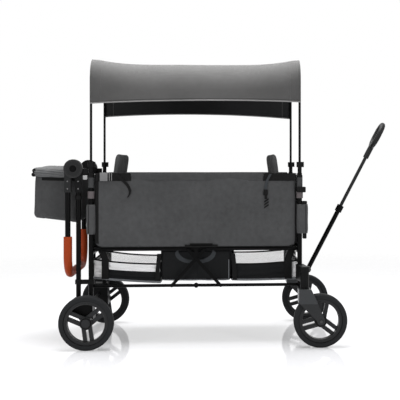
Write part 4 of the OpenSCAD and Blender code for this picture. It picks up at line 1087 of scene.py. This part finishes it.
# %% Bag lid
lid_low, lid_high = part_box("bag_lid")
LID_BACK, LID_FRONT, LID_HALF, LID_TOP = lid_low.x + 0.001, lid_high.x, lid_high.y - 0.001, lid_high.z
LID_ROUND, LID_ROLL, LID_PUFF, LID_DROOP, LID_SLACK, LID_CREASE = 0.02, 0.0085, 0.011, 0.005, 0.008, 0.0042
lid_form = open_box((LID_BACK, -LID_HALF, 0), (LID_FRONT, LID_HALF, 1), 30, 0.0, roof=True)
lid_floor = [f for f in lid_form.faces if f.calc_center_median().z < 0.001]
bmesh.ops.delete(lid_form, geom=lid_floor, context="FACES")
for vert in lid_form.verts:
    up = vert.co.z
    along = (vert.co.x - LID_BACK) / (LID_FRONT - LID_BACK)
    rim = max(abs(2 * along - 1), abs(vert.co.y) / LID_HALF)
    spot = rounded(Vector((vert.co.x, vert.co.y, 0)), Vector((LID_BACK, -LID_HALF, -1)),
                   Vector((LID_FRONT, LID_HALF, 1)), LID_ROUND)
    crumple = wave((spot.x, spot.y, 0.3), 14, 0.006) + wave((spot.x, spot.y, 1.3), 38, 0.002)
    puff = (1 - rim ** 3) * (LID_PUFF - 0.010 * abs(along - 0.38) + crumple) if up > 0.99 else 0
    droop = 0.004 * rim ** 6 + LID_DROOP * along ** 2 if up > 0.99 else LID_DROOP * along ** 2 * up
    slack = wave((spot.x, spot.y, 2.2), 26, 0.0025) * (1 - up) + LID_SLACK * (1 - along) ** 1.5 * (1 - up)
    crease = LID_CREASE * math.sin(2 * math.pi * (1.9 * up + 0.7 * along))
    crease *= 4 * up * (1 - up) * (1 - 0.5 * along)
    shrink = 1 - 0.014 * max(0.0, up - 0.7) / 0.3
    z = lid_low.z + slack + (LID_TOP - 0.004 - lid_low.z) * up + puff - droop
    y = spot.y * shrink + (math.copysign(crease, spot.y) if abs(spot.y) > LID_HALF - 0.02 else 0)
    vert.co = Vector((LID_FRONT + (spot.x - LID_FRONT) * shrink, y, z))
lid = piece("lid", lid_form, lid_cloth_painted_top_light, "bag_lid", ["bag_lid"], wall=0.003, sharp=180)
rolls = bmesh.new()
roll_half = LID_HALF + 0.001
for x, z in ((LID_BACK + 0.008, LID_TOP - 0.0115), (LID_BACK + 0.005, LID_TOP - 0.0275)):
    roll(rolls, straight((x, -roll_half, z), (x, roll_half, z), 41), LID_ROLL, 12)
rolls = piece("lid_rolls", rolls, webbing, "bag_lid")

# %% [markdown]
# ## Small hardware
# Rivets hold the legs of the handle hinges, each tyre has a dark ring round it as painted shade in the
# groove between tyre and rim, each wheel has a lighter rim edge as a painted highlight and a hub cap on both
# sides, rings painted lighter as highlights run round the hinge discs, and the leather grip is sewn shut
# along its inner side. They are tiny; the rivets catch the light as the real ones do. Each is a rolled
# circle, a flattened sphere or a small block, because a bump in a finish would be lost in the exported
# meshes.

# %% Rivets on the hinge legs
ARM_X, LEG_Y = -0.518, 0.2537
for x, body, label in ((UPRIGHT_X, "rear_frame", "upright"), (ARM_X, "push_handle", "arm")):
    heads = bmesh.new()
    for side in (-1, 1):
        for z in (0.667, 0.6365):
            rivet(heads, (x, side * LEG_Y, z), 0.0028, 0.0012, (0, side, 0))
    piece(label + "_rivets", heads, buckle_grey, body)

# %% Painted groove shade, painted rim highlights and hub caps of the wheels
CAP_OUT, CAP_R, CAP_TALL = 0.0202, 0.0235, 0.0012
# the near-black rolls are painted shade in the groove between tyre and rim; the lighter, glossier rolls are
# painted highlights on the rim's edge
for node in [n for n in frame["nodes"] if n.startswith("tyre_")]:
    wheel_low, wheel_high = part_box(node)
    hub, wheel = (wheel_low + wheel_high) / 2, node.replace("tyre_", "wheel_")
    grooves, edges = bmesh.new(), bmesh.new()
    for side in (-1, 1):
        for form, radius, out, thick in ((grooves, 0.0885, 0.0155, 0.0018), (edges, 0.0752, 0.0152, 0.0016)):
            roll(form, circle(hub + Vector((0, side * out, 0)), (1, 0, 0), (0, 0, 1), radius, 60), thick, 6)
        rivet(grooves, hub + Vector((0, side * CAP_OUT, 0)), CAP_R, CAP_TALL, (0, side, 0))
    piece(node.replace("tyre_", "groove_shade_and_caps_"), grooves, webbing, wheel)
    piece(node.replace("tyre_", "rim_highlights_"), edges, painted_highlight_black, wheel)

# %% Rings on the hinge discs, painted lighter as highlights
HINGE_X, HINGE_Z = -0.496, 0.718
disc_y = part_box("handle_hinge_covers")[1].y
rings = bmesh.new()
for side in (-1, 1):
    for radius, thick in ((0.0352, 0.0016), (0.0305, 0.0009), (0.0158, 0.0012)):
        roll(rings, circle((HINGE_X, side * disc_y, HINGE_Z), (1, 0, 0), (0, 0, 1), radius, 48), thick, 6)
piece("hinge_ring_highlights", rings, painted_highlight_black, "push_handle")

# %% Stitches on the leather grip
STITCH_X, STITCH_TOP, STITCH_STEP, STITCH_HALF = -0.5009, 0.434, 0.008, 0.0022
stitches = bmesh.new()
for side in (-1, 1):
    for i in range(12):
        z = STITCH_TOP - STITCH_STEP * i
        plate(stitches, (STITCH_X - 0.0006, STITCH_X + 0.0004), side * POST_Y,
              (z - STITCH_HALF, z + STITCH_HALF), 0.0007, 0.0003, 1)
piece("grip_stitches", stitches, hem_cloth, "push_handle")

# %% Measure and finish
low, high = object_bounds()
